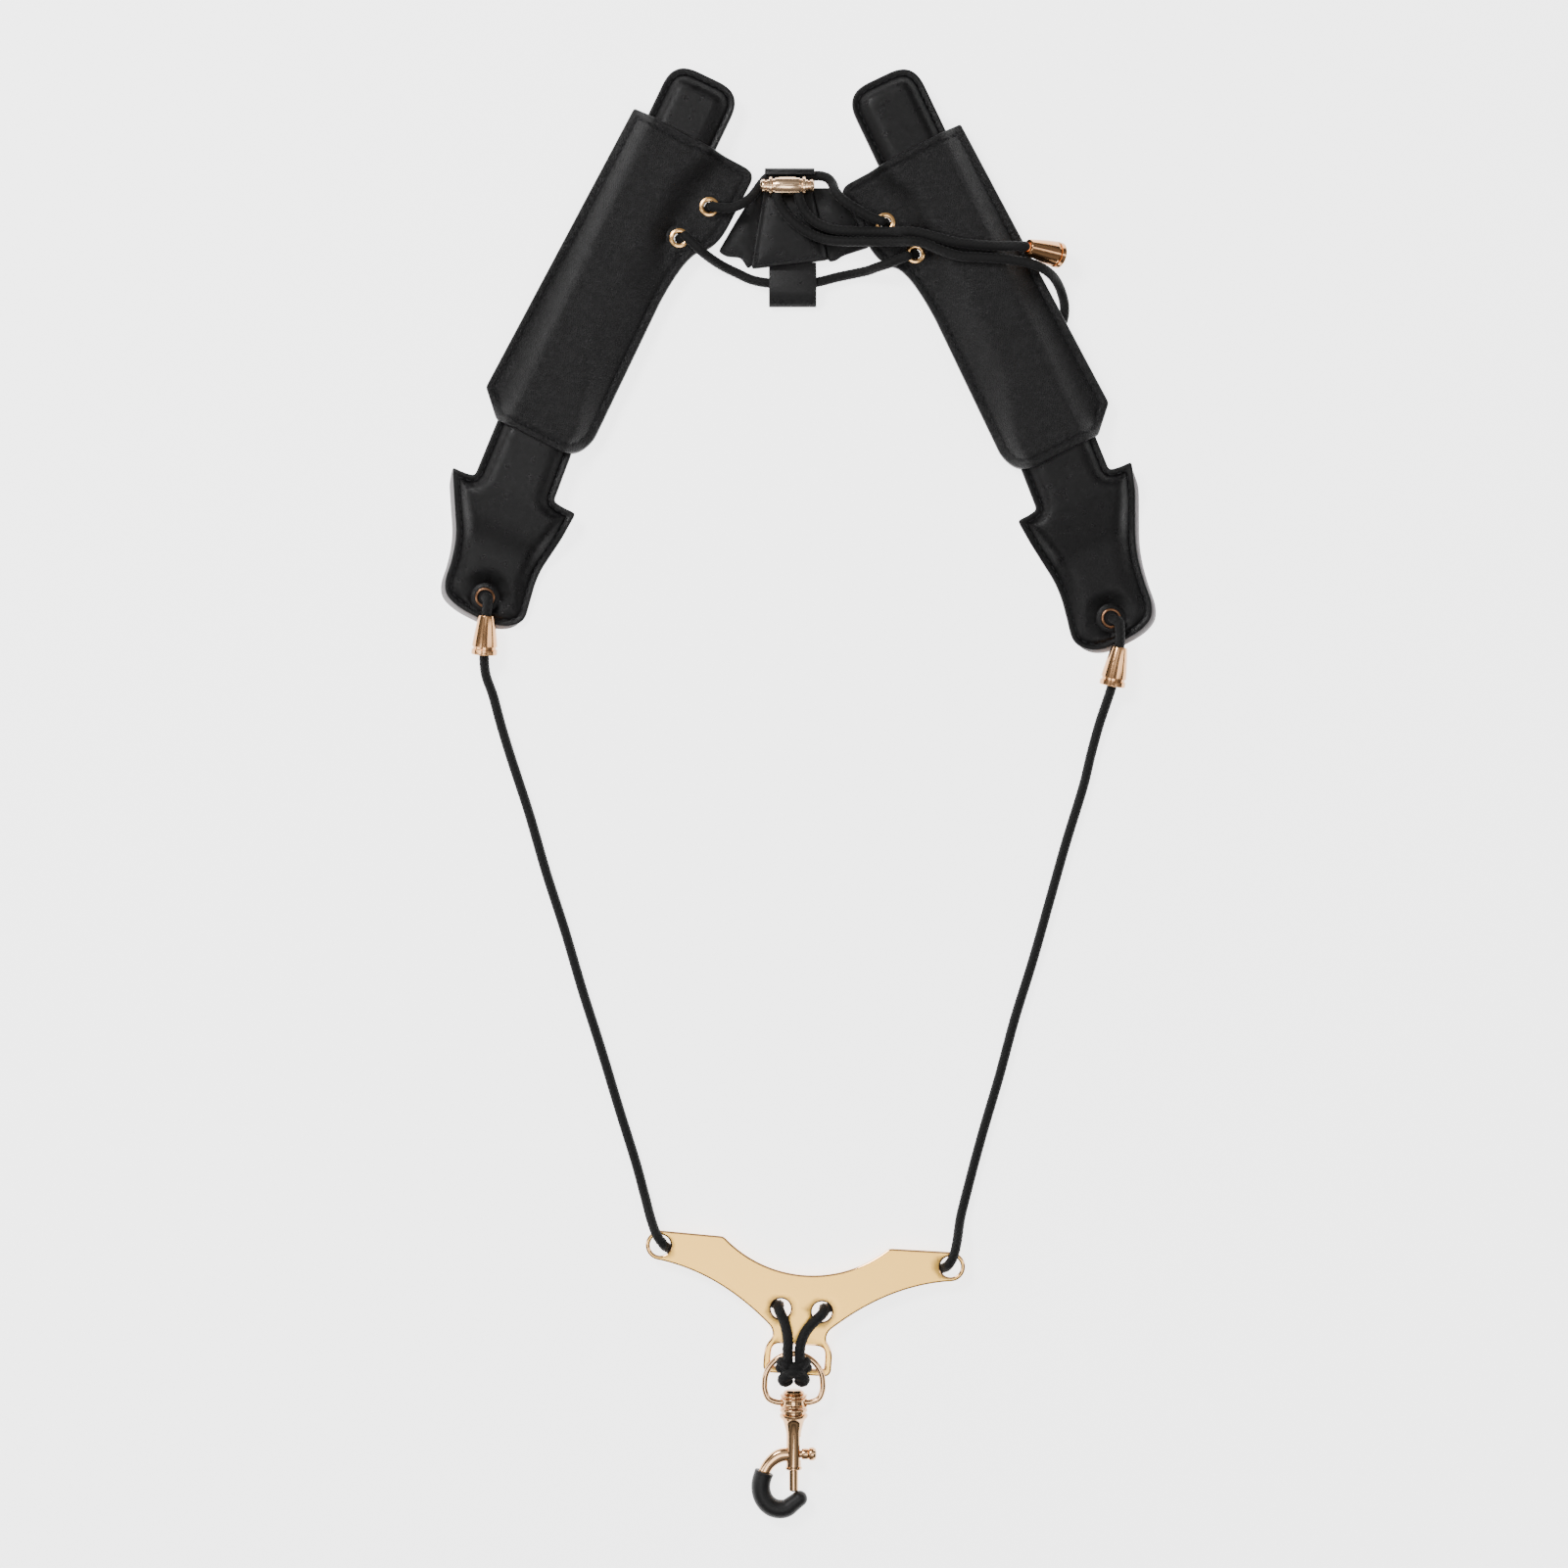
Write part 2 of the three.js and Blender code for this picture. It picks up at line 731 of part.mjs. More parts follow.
function lockSpring() {
  const [left, right] = lockHoles.map((x) => x - lock.x);
  const from = left + cordRadius + 0.9 + 0.5;
  const to = right - cordRadius - 0.9 - 0.5;
  const spring = coil(1.6, 0.25, from, to, 3, 8);
  return piece('lock_spring', spring.rotateZ(-Math.PI / 2), 'steel');
}

// Yoke: a plate with two end holes, two inner holes and a window over its bottom bar

function yokeShape() {
  const shape = new THREE.Shape();
  const { x: endX, rim } = endHole;
  const arc = { halfChord: 35.5, top: 5.8, radius: 52 };
  const arcHalf = Math.asin(arc.halfChord / arc.radius);
  const arcCentre = arc.top + arc.radius * Math.cos(arcHalf);
  shape.absarc(-endX, 0, rim, 1.5 * Math.PI, 0.52 * Math.PI, true);
  shape.lineTo(-arc.halfChord - 2, arc.top);
  shape.absarc(0, arcCentre, arc.radius, 1.5 * Math.PI - arcHalf, 1.5 * Math.PI + arcHalf, false);
  shape.lineTo(arc.halfChord + 2, arc.top);
  shape.absarc(endX, 0, rim, 0.48 * Math.PI, -0.5 * Math.PI, true);
  shape.quadraticCurveTo(36, -10, 12.8, -30.8);
  shape.quadraticCurveTo(11, -33, 11.6, -35.8);
  shape.quadraticCurveTo(14.6, -39, 14.6, -43);
  shape.lineTo(14.6, -49);
  shape.lineTo(13, -50.8);
  shape.lineTo(-13, -50.8);
  shape.lineTo(-14.6, -49);
  shape.lineTo(-14.6, -43);
  shape.quadraticCurveTo(-14.6, -39, -11.6, -35.8);
  shape.quadraticCurveTo(-11, -33, -12.8, -30.8);
  shape.quadraticCurveTo(-36, -10, -endX, -rim);
  return shape;
}

function yokeGroup() {
  const group = new THREE.Group();
  group.position.set(...yoke.place, 0);
  group.rotation.z = yoke.turn;

  const holes = [-1, 1].flatMap((sign) => [
    disc(sign * endHole.x, 0, endHole.radius, 0, 9),
    disc(sign * innerHole.x, innerHole.y, innerHole.radius, 0, 9),
  ]);
  const window = plate(
    polygon([
      [-11.6, -47.8],
      [11.6, -47.8],
      [11.6, -41.5],
      [8.4, -38],
      [-8.4, -38],
      [-11.6, -41.5],
    ]),
    0,
    9
  );
  const metal = combine(plate(yokeShape(), yokeBase, yokeTop, 10), [], [...holes, window]);
  group.add(piece('yoke_plate', metal, 'champagne'));

  const frontRoutes = {
    left: [
      [-9.8, -22.8, 8.6],
      [-7.6, -26.6, 9],
      [-6, -31, 10],
      [-5, -35, 11.4],
      [-4.6, -38.4, 11.9],
    ],
    right: [
      [9.8, -22.8, 8.6],
      [6.2, -26.6, 9],
      [3, -31, 10],
      [1.2, -35, 11.4],
      [0.6, -38.4, 11.9],
    ],
  };
  for (const [side, sign] of [['left', -1], ['right', 1]]) {
    const behindRoute = [
      [sign * 61, -1, cordRadius],
      [sign * 44, -7.4, cordRadius],
      [sign * 26, -15.6, cordRadius],
      [sign * 9.4, -22.8, cordRadius],
    ];
    group.add(piece(`yoke_cord_${side}`, tube(behindRoute, cordRadius, 10), 'cord'));
    group.add(piece(`front_cord_${side}`, tube(frontRoutes[side], cordRadius, 9), 'cord'));
  }
  return group;
}

// The cords' knot, tied round the top of the ring and lying over the plate's bar
function knotMesh() {
  const cross = [
    [-6.4, -6.3, 1.2],
    [-3.4, -5.4, 1.9],
    [0, -5.2, 2.3],
    [3.4, -5.4, 1.9],
    [6.4, -6.4, 1.2],
  ];
  const lobe = (sign) => [
    [sign * 2.2, -5.4, 1.8],
    [sign * 3, -8.4, 1.6],
    [sign * 3.2, -11.4, 1.5],
  ];
  const lobes = [-1, 1].map((sign) => tube(lobe(sign), cordRadius + 0.2, 4));
  return piece('ring_knot', combine(tube(cross, cordRadius, 8), lobes, []), 'cord');
}

// Snap hook

function ringRoute() {
  const { halfWidth, height, cornerRadius } = ring;
  const points = [];
  for (let i = 0; i <= 12; i += 1) {
    const angle = (i / 12) * Math.PI;
    points.push([halfWidth * Math.cos(angle), -halfWidth + halfWidth * Math.sin(angle), 0]);
  }
  const foot = (sign) => [
    [sign * halfWidth, -height + cornerRadius, 0],
    [sign * (halfWidth - 1.6), -height + 1.8, 0],
    [sign * (halfWidth - cornerRadius + 1), -height + 0.2, 0],
    [sign * (collar.radius - 1.5), -height, 0],
  ];
  return [...foot(1).reverse(), ...points, ...foot(-1)];
}

function swivelEye() {
  const { top, bottom, radius } = collar;
  const profile = [
    [2.2, bottom],
    [radius, bottom],
    [radius, bottom + 1.6],
    [radius - 0.8, bottom + 2.1],
    [radius - 0.8, top - 1.6],
    [radius, top - 1.2],
    [radius, top],
    [2.2, top],
  ];
  const bore = new THREE.CylinderGeometry(2.2, 2.2, 12, 16).translate(0, (top + bottom) / 2, 0);
  return combine(tube(ringRoute(), ringWire, 32), [turned(profile)], [bore]);
}

function swivelRivet() {
  const head = collar.top + gap;
  const profile = [
    [0, collar.bottom - 4],
    [1.9, collar.bottom - 4],
    [1.9, head],
    [4.6, head],
    [4.6, head + 0.9],
    [3.4, head + 1.6],
    [0, head + 1.6],
  ];
  return solidTurned(profile, 16);
}

const hookCurve = [
  [0, -43.4, 0],
  [-5.6, -43.8, 0],
  [-10.2, -47, 0],
  [-13, -52, 0],
  [-14.1, -58, 0],
  [-12.2, -63.6, 0],
  [-8, -66.7, 0],
  [-3.2, -66.6, 0],
  [0.2, -64.2, 0],
];

function hookBody() {
  const { top, bottom, radius, bore } = shank;
  const head = collar.bottom - gap;
  const outside = [
    [0, bottom],
    [radius - 0.4, bottom],
    [radius, bottom + 0.8],
    [radius, top],
    [collar.radius - 0.9, head - 3.4],
    [collar.radius + 0.2, head - 2.6],
    [collar.radius + 0.2, head],
    [0, head],
  ];
  const boltBore = new THREE.CylinderGeometry(bore, bore, shank.boreTop - bottom + 1, 16);
  boltBore.translate(0, (shank.boreTop + bottom - 1) / 2, 0);
  const rivetBore = new THREE.CylinderGeometry(2.2, 2.2, 8, 16).translate(0, head - 1, 0);
  const slotHalf = 1.9;
  const slotBottom = bolt.knobY - slotHalf - gap;
  const slotTop = bolt.knobY + bolt.travel + slotHalf + gap;
  const slot = new THREE.BoxGeometry(8, slotTop - slotBottom, 2 * slotHalf);
  slot.translate(4, (slotTop + slotBottom) / 2, 0);
  return combine(solidTurned(outside), [tube(hookCurve, hookWire, 26)], [boltBore, rivetBore, slot]);
}

function hookSleeve() {
  const covered = spline(hookCurve);
  const start = 0.36;
  const points = Array.from({ length: 12 }, (_, i) => {
    const p = covered.getPointAt(start + ((1 - start) * i) / 11);
    return [p.x, p.y, p.z];
  });
  const [lastX, lastY] = points[11];
  points.push([lastX + 1.9, lastY + 1.6, 0]);
  const outer = tube(points, rubberRadius, 18, 10);
  return combine(outer, [], [tube(hookCurve, hookWire + gap, 26)]);
}

function boltMeshes() {
  const pin = solidTurned([
    [0, bolt.bottom],
    [bolt.radius - 0.5, bolt.bottom],
    [bolt.radius, bolt.bottom + 0.6],
    [bolt.radius, bolt.top],
    [0, bolt.top],
  ], 16);
  const neck = [
    [0, bolt.radius + gap],
    [1.5, bolt.radius + gap],
    [1.5, 4.4],
    [2.6, 4.8],
    [3.1, 7.6],
    [2.2, 9.4],
    [0, 9.8],
  ];
  const knob = solidTurned(neck, 16).rotateZ(-Math.PI / 2).translate(0, bolt.knobY, 0);
  const spring = coil(1.5, 0.3, bolt.top + 0.6, shank.boreTop - 0.6, 5, 8);
  return [
    piece('bolt', pin, 'gold'),
    piece('bolt_knob', knob, 'gold'),
    piece('bolt_spring', spring, 'steel'),
  ];
}

function bights() {
  return [['left', -1], ['right', 1]].map(([side, sign]) => {
    const route = [
      [sign * bightSpacing, 2.6, ringWire + gap + cordRadius],
      [sign * bightSpacing, -0.4, ringWire + gap + cordRadius + 0.1],
      [sign * bightSpacing, -2.6, ringWire + gap + cordRadius - 0.1],
    ];
    return piece(`bight_${side}`, tube(route, cordRadius, 3), 'cord');
  });
}

function hookGroup() {
  const group = new THREE.Group();
  group.position.set(...hookPlace);
  group.rotation.x = hookSlope;
  group.add(piece('swivel_eye', swivelEye(), 'gold'));
  group.add(piece('swivel_rivet', swivelRivet(), 'gold'));
  group.add(piece('hook_body', hookBody(), 'gold'));
  group.add(piece('hook_sleeve', hookSleeve(), 'rubber'));
  group.add(...boltMeshes(), ...bights(), knotMesh());
  return group;
}

// The whole harness

const harness = new THREE.Group();
for (const side of ['left', 'right']) harness.add(padGroup(side), mainCord(side));
harness.add(backPad(), keeperLoop(), bottomTab(), lace(), lockGroup());
harness.add(yokeGroup(), hookGroup());
harness.position.set(...footprintShift, 0);

export default harness;
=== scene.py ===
"""The looks of a saxophone harness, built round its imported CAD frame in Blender.

Outlines and profiles are written in millimetres and turned into metres as each mesh is
made. Cord routes are in metres. X runs to the right, Y from the hook up to the pads.
"""

import math

import bmesh
import bpy
import numpy as np
from mathutils import Matrix, Vector, geometry


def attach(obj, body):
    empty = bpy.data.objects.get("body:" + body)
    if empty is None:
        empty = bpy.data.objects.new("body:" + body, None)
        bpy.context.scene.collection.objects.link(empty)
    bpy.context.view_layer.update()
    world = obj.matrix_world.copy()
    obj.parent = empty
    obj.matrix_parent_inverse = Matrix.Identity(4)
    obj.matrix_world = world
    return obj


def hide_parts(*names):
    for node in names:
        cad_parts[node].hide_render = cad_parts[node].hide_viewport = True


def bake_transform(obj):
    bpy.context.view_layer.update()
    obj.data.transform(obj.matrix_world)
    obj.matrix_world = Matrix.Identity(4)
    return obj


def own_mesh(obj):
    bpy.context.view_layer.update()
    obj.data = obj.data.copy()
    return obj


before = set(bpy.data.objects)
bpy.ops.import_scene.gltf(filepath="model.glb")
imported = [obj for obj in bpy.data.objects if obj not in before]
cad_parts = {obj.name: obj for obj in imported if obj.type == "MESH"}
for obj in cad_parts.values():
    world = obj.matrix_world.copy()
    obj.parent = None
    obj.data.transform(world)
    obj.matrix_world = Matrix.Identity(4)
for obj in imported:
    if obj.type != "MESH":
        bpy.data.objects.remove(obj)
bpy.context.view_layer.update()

MM = 0.001
SHIFT = np.array([0.85, 0.47, 0.0])  # millimetres, from the drawing's origin to the frame's
SIDES = {"left": -1, "right": 1}

# The view straight down on the harness
VIEW_CENTRE = (-0.0061, 0.0045)
VIEW_WIDTH = 0.6724
VIEW_HEIGHT = 2.0

# Cords
CORD_RADIUS = 2.08  # over the strands' crowns
THICK_CORD = 2.25  # radius where it is tied over the ring
CORD_STEP = 0.42  # between the points of a cord's line
BRAID_STRANDS = 8
BRAID_PITCH = 17.0
BRAID_RELIEF = 0.32
MAIN_CORD_LENGTHS = {"left": 0.29, "right": 0.287}
LACE_BELL = {"small": (0.0968, 0.2324, 0.0172), "large": (0.1107, 0.2298, 0.0078)}

# Each pad lies at PAD_ANGLE to the Y axis, its sleeve's bottom middle at its place.
PAD_ANGLE = math.radians(28)
TONGUE_LEAN = math.radians(2.5)
PADS = {
    "left": {"place": (114.2, 151.6), "barb_line": -24.3, "tail_scale": 0.83,
             "barb_rise": {"inner": 4.0, "outer": -0.8}, "inner_room": 2.3},
    "right": {"place": (111.7, 144.9), "barb_line": -17.2, "tail_scale": 1.0,
              "barb_rise": {"inner": 0.5, "outer": 2.3}, "inner_room": 1.0},
}
SLEEVE_LENGTH = 145.0
SLEEVE_BACK = (4.3, 5.5)
FLANGE_TOP = 7.6
SLEEVE_TOP = 14.0
SLEEVE_SKIN = 1.4
TONGUE_HALF = 16.25
TONGUE_LENGTH = 196.0
TONGUE_OFFSET = -2.2
TONGUE_BASE = 6.1
TAIL_DROP = 28.0
UPPER_EYELET = (-20.0, 122.8)
LOWER_EYELET = (-15.0, 105.0)
TAIL_EYELET = (-9.3, -55.0)
BORDER = 3.4  # from an edge to its stitches

# Yoke and snap hook
YOKE_PLACE = (2.2, -197.8)
YOKE_TURN = math.radians(-4.25)
YOKE_BASE = 4.3
YOKE_TOP = 6.3
YOKE_END = 62.2
BEVEL = 0.65  # along the edges of the plate and of its holes
BEVEL_SLOPE = 0.42  # how much it falls for each millimetre across
HOOK_PLACE = (-2.8, -239.3, 8.0)
HOOK_SLOPE = math.radians(3.1)
HOOK_LINE = [
    (0, -43.4, 0), (-5.6, -43.8, 0), (-10.2, -47, 0), (-13, -52, 0), (-14.1, -58, 0),
    (-12.2, -63.6, 0), (-8, -66.7, 0), (-3.2, -66.6, 0), (0.2, -64.2, 0),
]

# The sky's brightness at heights from the horizon, 0, to overhead, 1
SKY = ((0.0, 0.02), (0.2, 0.04), (0.45, 0.22), (0.6, 0.07), (0.8, 0.4), (0.95, 0.14))
SKY_STRENGTH = 1.5

# Cord lock
LOCK_PLACE = (-5.5, 259.4, 9.0)
LOCK_HALF = 7.75
LOCK_HOLES = {"left": -10.2, "right": -0.8}
LOCK_BORE = 2.25

# Cord routes, before the shift, in metres
MAIN_CORD_ROUTES = {
    "left": [
        (-0.1334, 0.0834, 0.007), (-0.1337, 0.0796, 0.0082), (-0.134, 0.076, 0.008),
        (-0.1346, 0.068, 0.0068), (-0.1352, 0.0594, 0.0056), (-0.1346, 0.051, 0.0042),
        (-0.1316, 0.042, 0.0026), (-0.1284, 0.03, 0.002), (-0.1244, 0.0168, 0.002),
        (-0.1162, -0.0084, 0.002), (-0.1089, -0.0336, 0.002), (-0.1008, -0.0588, 0.002),
        (-0.0934, -0.084, 0.002), (-0.0854, -0.1092, 0.002), (-0.0778, -0.1344, 0.002),
        (-0.07, -0.1596, 0.002), (-0.0666, -0.1722, 0.0026), (-0.0636, -0.1826, 0.0064),
        (-0.0612, -0.1886, 0.009), (-0.0586, -0.1926, 0.009),
    ],
    "right": [
        (0.1362, 0.0734, 0.0068), (0.1367, 0.068, 0.0075), (0.1364, 0.0624, 0.0073),
        (0.135, 0.0544, 0.0064), (0.1333, 0.046, 0.0055), (0.1308, 0.038, 0.004),
        (0.1282, 0.03, 0.0024), (0.1246, 0.0168, 0.002), (0.1216, 0.0042, 0.002),
        (0.1139, -0.021, 0.002), (0.1068, -0.0462, 0.002), (0.0997, -0.0714, 0.002),
        (0.0919, -0.0966, 0.002), (0.0851, -0.1218, 0.002), (0.0777, -0.147, 0.002),
        (0.071, -0.1722, 0.002), (0.0686, -0.182, 0.0026), (0.067, -0.1914, 0.0068),
        (0.0656, -0.197, 0.009), (0.0636, -0.2014, 0.009),
    ],
}
LACE_ROUTES = {
    "lace_upper_left": [
        (-0.0396, 0.2508, 0.0108), (-0.034, 0.2498, 0.0108), (-0.0294, 0.2498, 0.0108),
        (-0.025, 0.2514, 0.0108), (-0.0214, 0.2542, 0.0086), (-0.0188, 0.2576, 0.0058),
        (-0.0166, 0.2608, 0.0046), (-0.0138, 0.2637, 0.004), (-0.0104, 0.2639, 0.004),
    ],
    "lace_upper_right": [
        (0.0366, 0.2436, 0.0108), (0.0304, 0.2456, 0.0108), (0.0244, 0.249, 0.0108),
        (0.0188, 0.2528, 0.0108), (0.015, 0.257, 0.009), (0.0138, 0.2606, 0.006),
        (0.0118, 0.2632, 0.0046), (0.0084, 0.2643, 0.0041), (0.004, 0.2641, 0.004),
        (-0.0004, 0.2639, 0.004),
    ],
    "lace_lower": [
        (-0.0506, 0.2394, 0.0108), (-0.046, 0.235, 0.0108), (-0.0418, 0.231, 0.0104),
        (-0.0374, 0.228, 0.0068), (-0.0326, 0.2254, 0.0034), (-0.027, 0.2228, 0.0024),
        (-0.0206, 0.2199, 0.0026), (-0.013, 0.2184, 0.0034), (-0.003, 0.2178, 0.0034),
        (0.007, 0.2188, 0.0034), (0.0156, 0.221, 0.0026), (0.023, 0.2226, 0.0024),
        (0.0286, 0.2236, 0.0046), (0.033, 0.2248, 0.0082), (0.0376, 0.226, 0.0108),
        (0.043, 0.2282, 0.0108), (0.0476, 0.23, 0.0108),
    ],
    "lace_tail_upper": [
        (-0.0008, 0.2628, 0.009), (-0.0008, 0.257, 0.009), (-0.0002, 0.253, 0.0088),
        (0.0024, 0.248, 0.0082), (0.0068, 0.2438, 0.0086), (0.014, 0.2408, 0.0096),
        (0.022, 0.2399, 0.0108), (0.031, 0.2396, 0.0112), (0.038, 0.2394, 0.0126),
        (0.043, 0.2392, 0.016), (0.049, 0.2388, 0.0163), (0.058, 0.2366, 0.0163),
        (0.066, 0.2346, 0.0163), (0.076, 0.2334, 0.0163), (0.086, 0.2328, 0.0163),
        (0.092, 0.2327, 0.0182), (0.0977, 0.2324, 0.0177),
    ],
    "lace_tail_lower": [
        (-0.0102, 0.2628, 0.009), (-0.0102, 0.257, 0.009), (-0.0096, 0.253, 0.0088),
        (-0.007, 0.2486, 0.0082), (-0.0026, 0.2438, 0.0082), (0.0036, 0.2394, 0.0082),
        (0.0104, 0.2366, 0.0086), (0.018, 0.2356, 0.0098), (0.027, 0.2354, 0.0108),
        (0.035, 0.2352, 0.0116), (0.04, 0.235, 0.0136), (0.0456, 0.2348, 0.0163),
        (0.052, 0.2342, 0.0163), (0.06, 0.231, 0.0163), (0.068, 0.2286, 0.0163),
        (0.078, 0.228, 0.0163), (0.088, 0.2272, 0.0163), (0.096, 0.2259, 0.0163),
    ],
    "lace_tail_end": [
        (0.0964, 0.2258, 0.0163), (0.1014, 0.2242, 0.0163), (0.106, 0.2218, 0.013),
        (0.1094, 0.2188, 0.0076), (0.112, 0.214, 0.0032), (0.1132, 0.2086, 0.0021),
        (0.1126, 0.2026, 0.0021), (0.109, 0.197, 0.0021), (0.103, 0.1936, 0.0021),
        (0.096, 0.1924, 0.0021),
    ],
}

# Shapes


def smooth(t):
    s = np.clip(t, 0.0, 1.0)
    return s * s * (3 - 2 * s)


def smooth_line(points, step):
    """Points about step apart along a centripetal Catmull-Rom line through points."""
    p = np.array(points, float)
    p = np.vstack([2 * p[0] - p[1], p, 2 * p[-1] - p[-2]])
    dense = []
    for a, b, c, d in zip(p, p[1:], p[2:], p[3:]):
        t1 = np.linalg.norm(b - a) ** 0.5
        t2 = t1 + np.linalg.norm(c - b) ** 0.5
        t3 = t2 + np.linalg.norm(d - c) ** 0.5
        for t in np.linspace(t1, t2, 14, endpoint=False):
            ab = a + (b - a) * t / t1
            bc = b + (c - b) * (t - t1) / (t2 - t1)
            cd = c + (d - c) * (t - t2) / (t3 - t2)
            abc = ab + (bc - ab) * t / t2
            bcd = bc + (cd - bc) * (t - t1) / (t3 - t1)
            dense.append(abc + (bcd - abc) * (t - t1) / (t2 - t1))
    dense.append(p[-2])
    return spaced(np.array(dense), step)


def length_along(line):
    return np.concatenate([[0], np.cumsum(np.linalg.norm(np.diff(line, axis=0), axis=1))])


def spaced(line, step):
    """The line again, with points evenly spaced about step apart."""
    along = length_along(line)
    at = np.linspace(0, along[-1], max(2, math.ceil(along[-1] / step) + 1))
    return np.stack([np.interp(at, along, line[:, k]) for k in range(line.shape[1])], axis=1)


def outline(start, *parts, step=1.1):
    """A closed loop of points from straight ("to", x, y) and curved ("bend", cx, cy, x, y) parts."""
    loop = [np.array(start, float)]
    for kind, *numbers in parts:
        here, end = loop[-1], np.array(numbers[-2:], float)
        count = max(1, round(np.linalg.norm(end - here) / step))
        for i in range(1, count + 1):
            t = i / count
            if kind == "to":
                loop.append(here + (end - here) * t)
            else:
                control = np.array(numbers[:2], float)
                loop.append((1 - t) ** 2 * here + 2 * t * (1 - t) * control + t**2 * end)
    closing = spaced(np.array([loop[-1], loop[0]]), step)[1:-1]
    return np.array([*loop, *closing])


def softened(loop, passes=2):
    """The closed loop with its corners rounded a little."""
    for _ in range(passes):
        loop = (np.roll(loop, 1, 0) + 2 * loop + np.roll(loop, -1, 0)) / 4
    return loop


def circle(centre, radius, count=32):
    angles = np.arange(count) * 2 * math.pi / count
    return np.array(centre) + radius * np.stack([np.cos(angles), np.sin(angles)], axis=1)


def edge_distance(points, loop):
    """How far each point is from a closed loop."""
    start, run = loop, np.roll(loop, -1, 0) - loop
    size = np.maximum((run * run).sum(1), 1e-12)
    best = np.full(len(points), np.inf)
    for first in range(0, len(points), 2000):
        p = points[first : first + 2000, None]
        t = np.clip(((p - start) * run).sum(-1) / size, 0, 1)
        gap = np.linalg.norm(p - start - t[..., None] * run, axis=-1)
        best[first : first + 2000] = gap.min(1)
    return best


def inside(points, loop):
    """Whether each point lies inside a closed loop."""
    x, y = points[:, 0, None], points[:, 1, None]
    x0, y0 = loop[:, 0], loop[:, 1]
    x1, y1 = np.roll(x0, -1), np.roll(y0, -1)
    crosses = (y0 > y) != (y1 > y)
    rise = np.where(y1 == y0, 1e-12, y1 - y0)
    return (crosses & (x < (x1 - x0) * (y - y0) / rise + x0)).sum(1) % 2 == 1


def area_sign(loop):
    x, y = loop[:, 0], loop[:, 1]
    return math.copysign(1, (x * np.roll(y, -1) - y * np.roll(x, -1)).sum())


def inset(loop, distance):
    """The loop moved inward, without the points that come too near the loop again."""
    run = np.roll(loop, -1, 0) - np.roll(loop, 1, 0)
    run /= np.linalg.norm(run, axis=1, keepdims=True)
    inward = np.stack([-run[:, 1], run[:, 0]], axis=1) * area_sign(loop)
    nearer = loop + inward * distance
    keep = (edge_distance(nearer, loop) > 0.93 * distance) & inside(nearer, loop)
    return nearer[keep]


def panel(loop, top, bottom, spacing=2.2, rings=(0.2, 0.5, 1.0, 1.8, 2.6, 3.4, 4.2, 5.4), holes=()):
    """A closed body over a flat outline. top and bottom give the heights of its faces from
    the points and their distance to the nearest edge. Returns points, faces and distances."""
    loops = [loop, *holes]
    inner = [inset(loop, distance) for distance in rings]
    for hole in holes:
        centre, radius = hole.mean(0), np.linalg.norm(hole[0] - hole.mean(0))
        inner += [circle(centre, radius + distance, len(hole)) for distance in rings[:5]]
    low, high = loop.min(0), loop.max(0)
    across = np.arange(low[0] + spacing / 2, high[0], spacing)
    along = np.arange(low[1] + spacing / 2, high[1], spacing)
    inner.append(np.stack(np.meshgrid(across, along), axis=-1).reshape(-1, 2))
    free = np.vstack(inner)

    def nearest(points):
        return np.min([edge_distance(points, each) for each in loops], axis=0)

    def within(points):
        return inside(points, loop) & ~np.any([inside(points, h) for h in holes] or [False], axis=0)

    distance = nearest(free)
    is_grid = np.arange(len(free)) >= len(free) - len(inner[-1])
    free = free[within(free) & (distance > np.where(is_grid, rings[-1] + 0.5 * spacing, 0.7 * rings[0]))]
    edges, corners = [], np.vstack(loops)
    start = 0
    for each in loops:
        count = len(each)
        edges += [(start + i, start + (i + 1) % count) for i in range(count)]
        start += count
    flat = np.vstack([corners, free])
    made = geometry.delaunay_2d_cdt([Vector(p) for p in flat], edges, [], 0, 1e-5)
    flat = np.array([tuple(v) for v in made[0]])
    triangles = np.array(made[2])
    triangles = triangles[within(flat[triangles].mean(1))]
    a, b, c = (flat[triangles[:, k]] for k in range(3))
    turned = np.cross(b - a, c - a) < 0
    triangles[turned] = triangles[turned][:, ::-1]
    distance = nearest(flat)
    count = len(flat)
    points = np.vstack([
        np.column_stack([flat, top(flat, distance)]),
        np.column_stack([flat, bottom(flat, distance)]),
    ])
    directed = {(t[k], t[(k + 1) % 3]) for t in triangles.tolist() for k in range(3)}
    rim = [(i, j) for i, j in directed if (j, i) not in directed]
    faces = triangles.tolist() + (triangles[:, ::-1] + count).tolist()
    faces += [[j, i, i + count, j + count] for i, j in sorted(rim)]
    return points, faces, np.concatenate([distance, distance])


def directions(line):
    """Along, side and up directions at each point of a line, turning as little as possible."""
    along = np.gradient(line, axis=0)
    along /= np.linalg.norm(along, axis=1, keepdims=True)
    side = np.cross((0.0, 0.0, 1.0), along[0])
    if np.linalg.norm(side) < 0.1:
        side = np.cross((0.0, 1.0, 0.0), along[0])
    sides = []
    for direction in along:
        side = side - direction * (side @ direction)
        side = side / np.linalg.norm(side)
        sides.append(side)
    sides = np.array(sides)
    return along, sides, np.cross(along, sides)


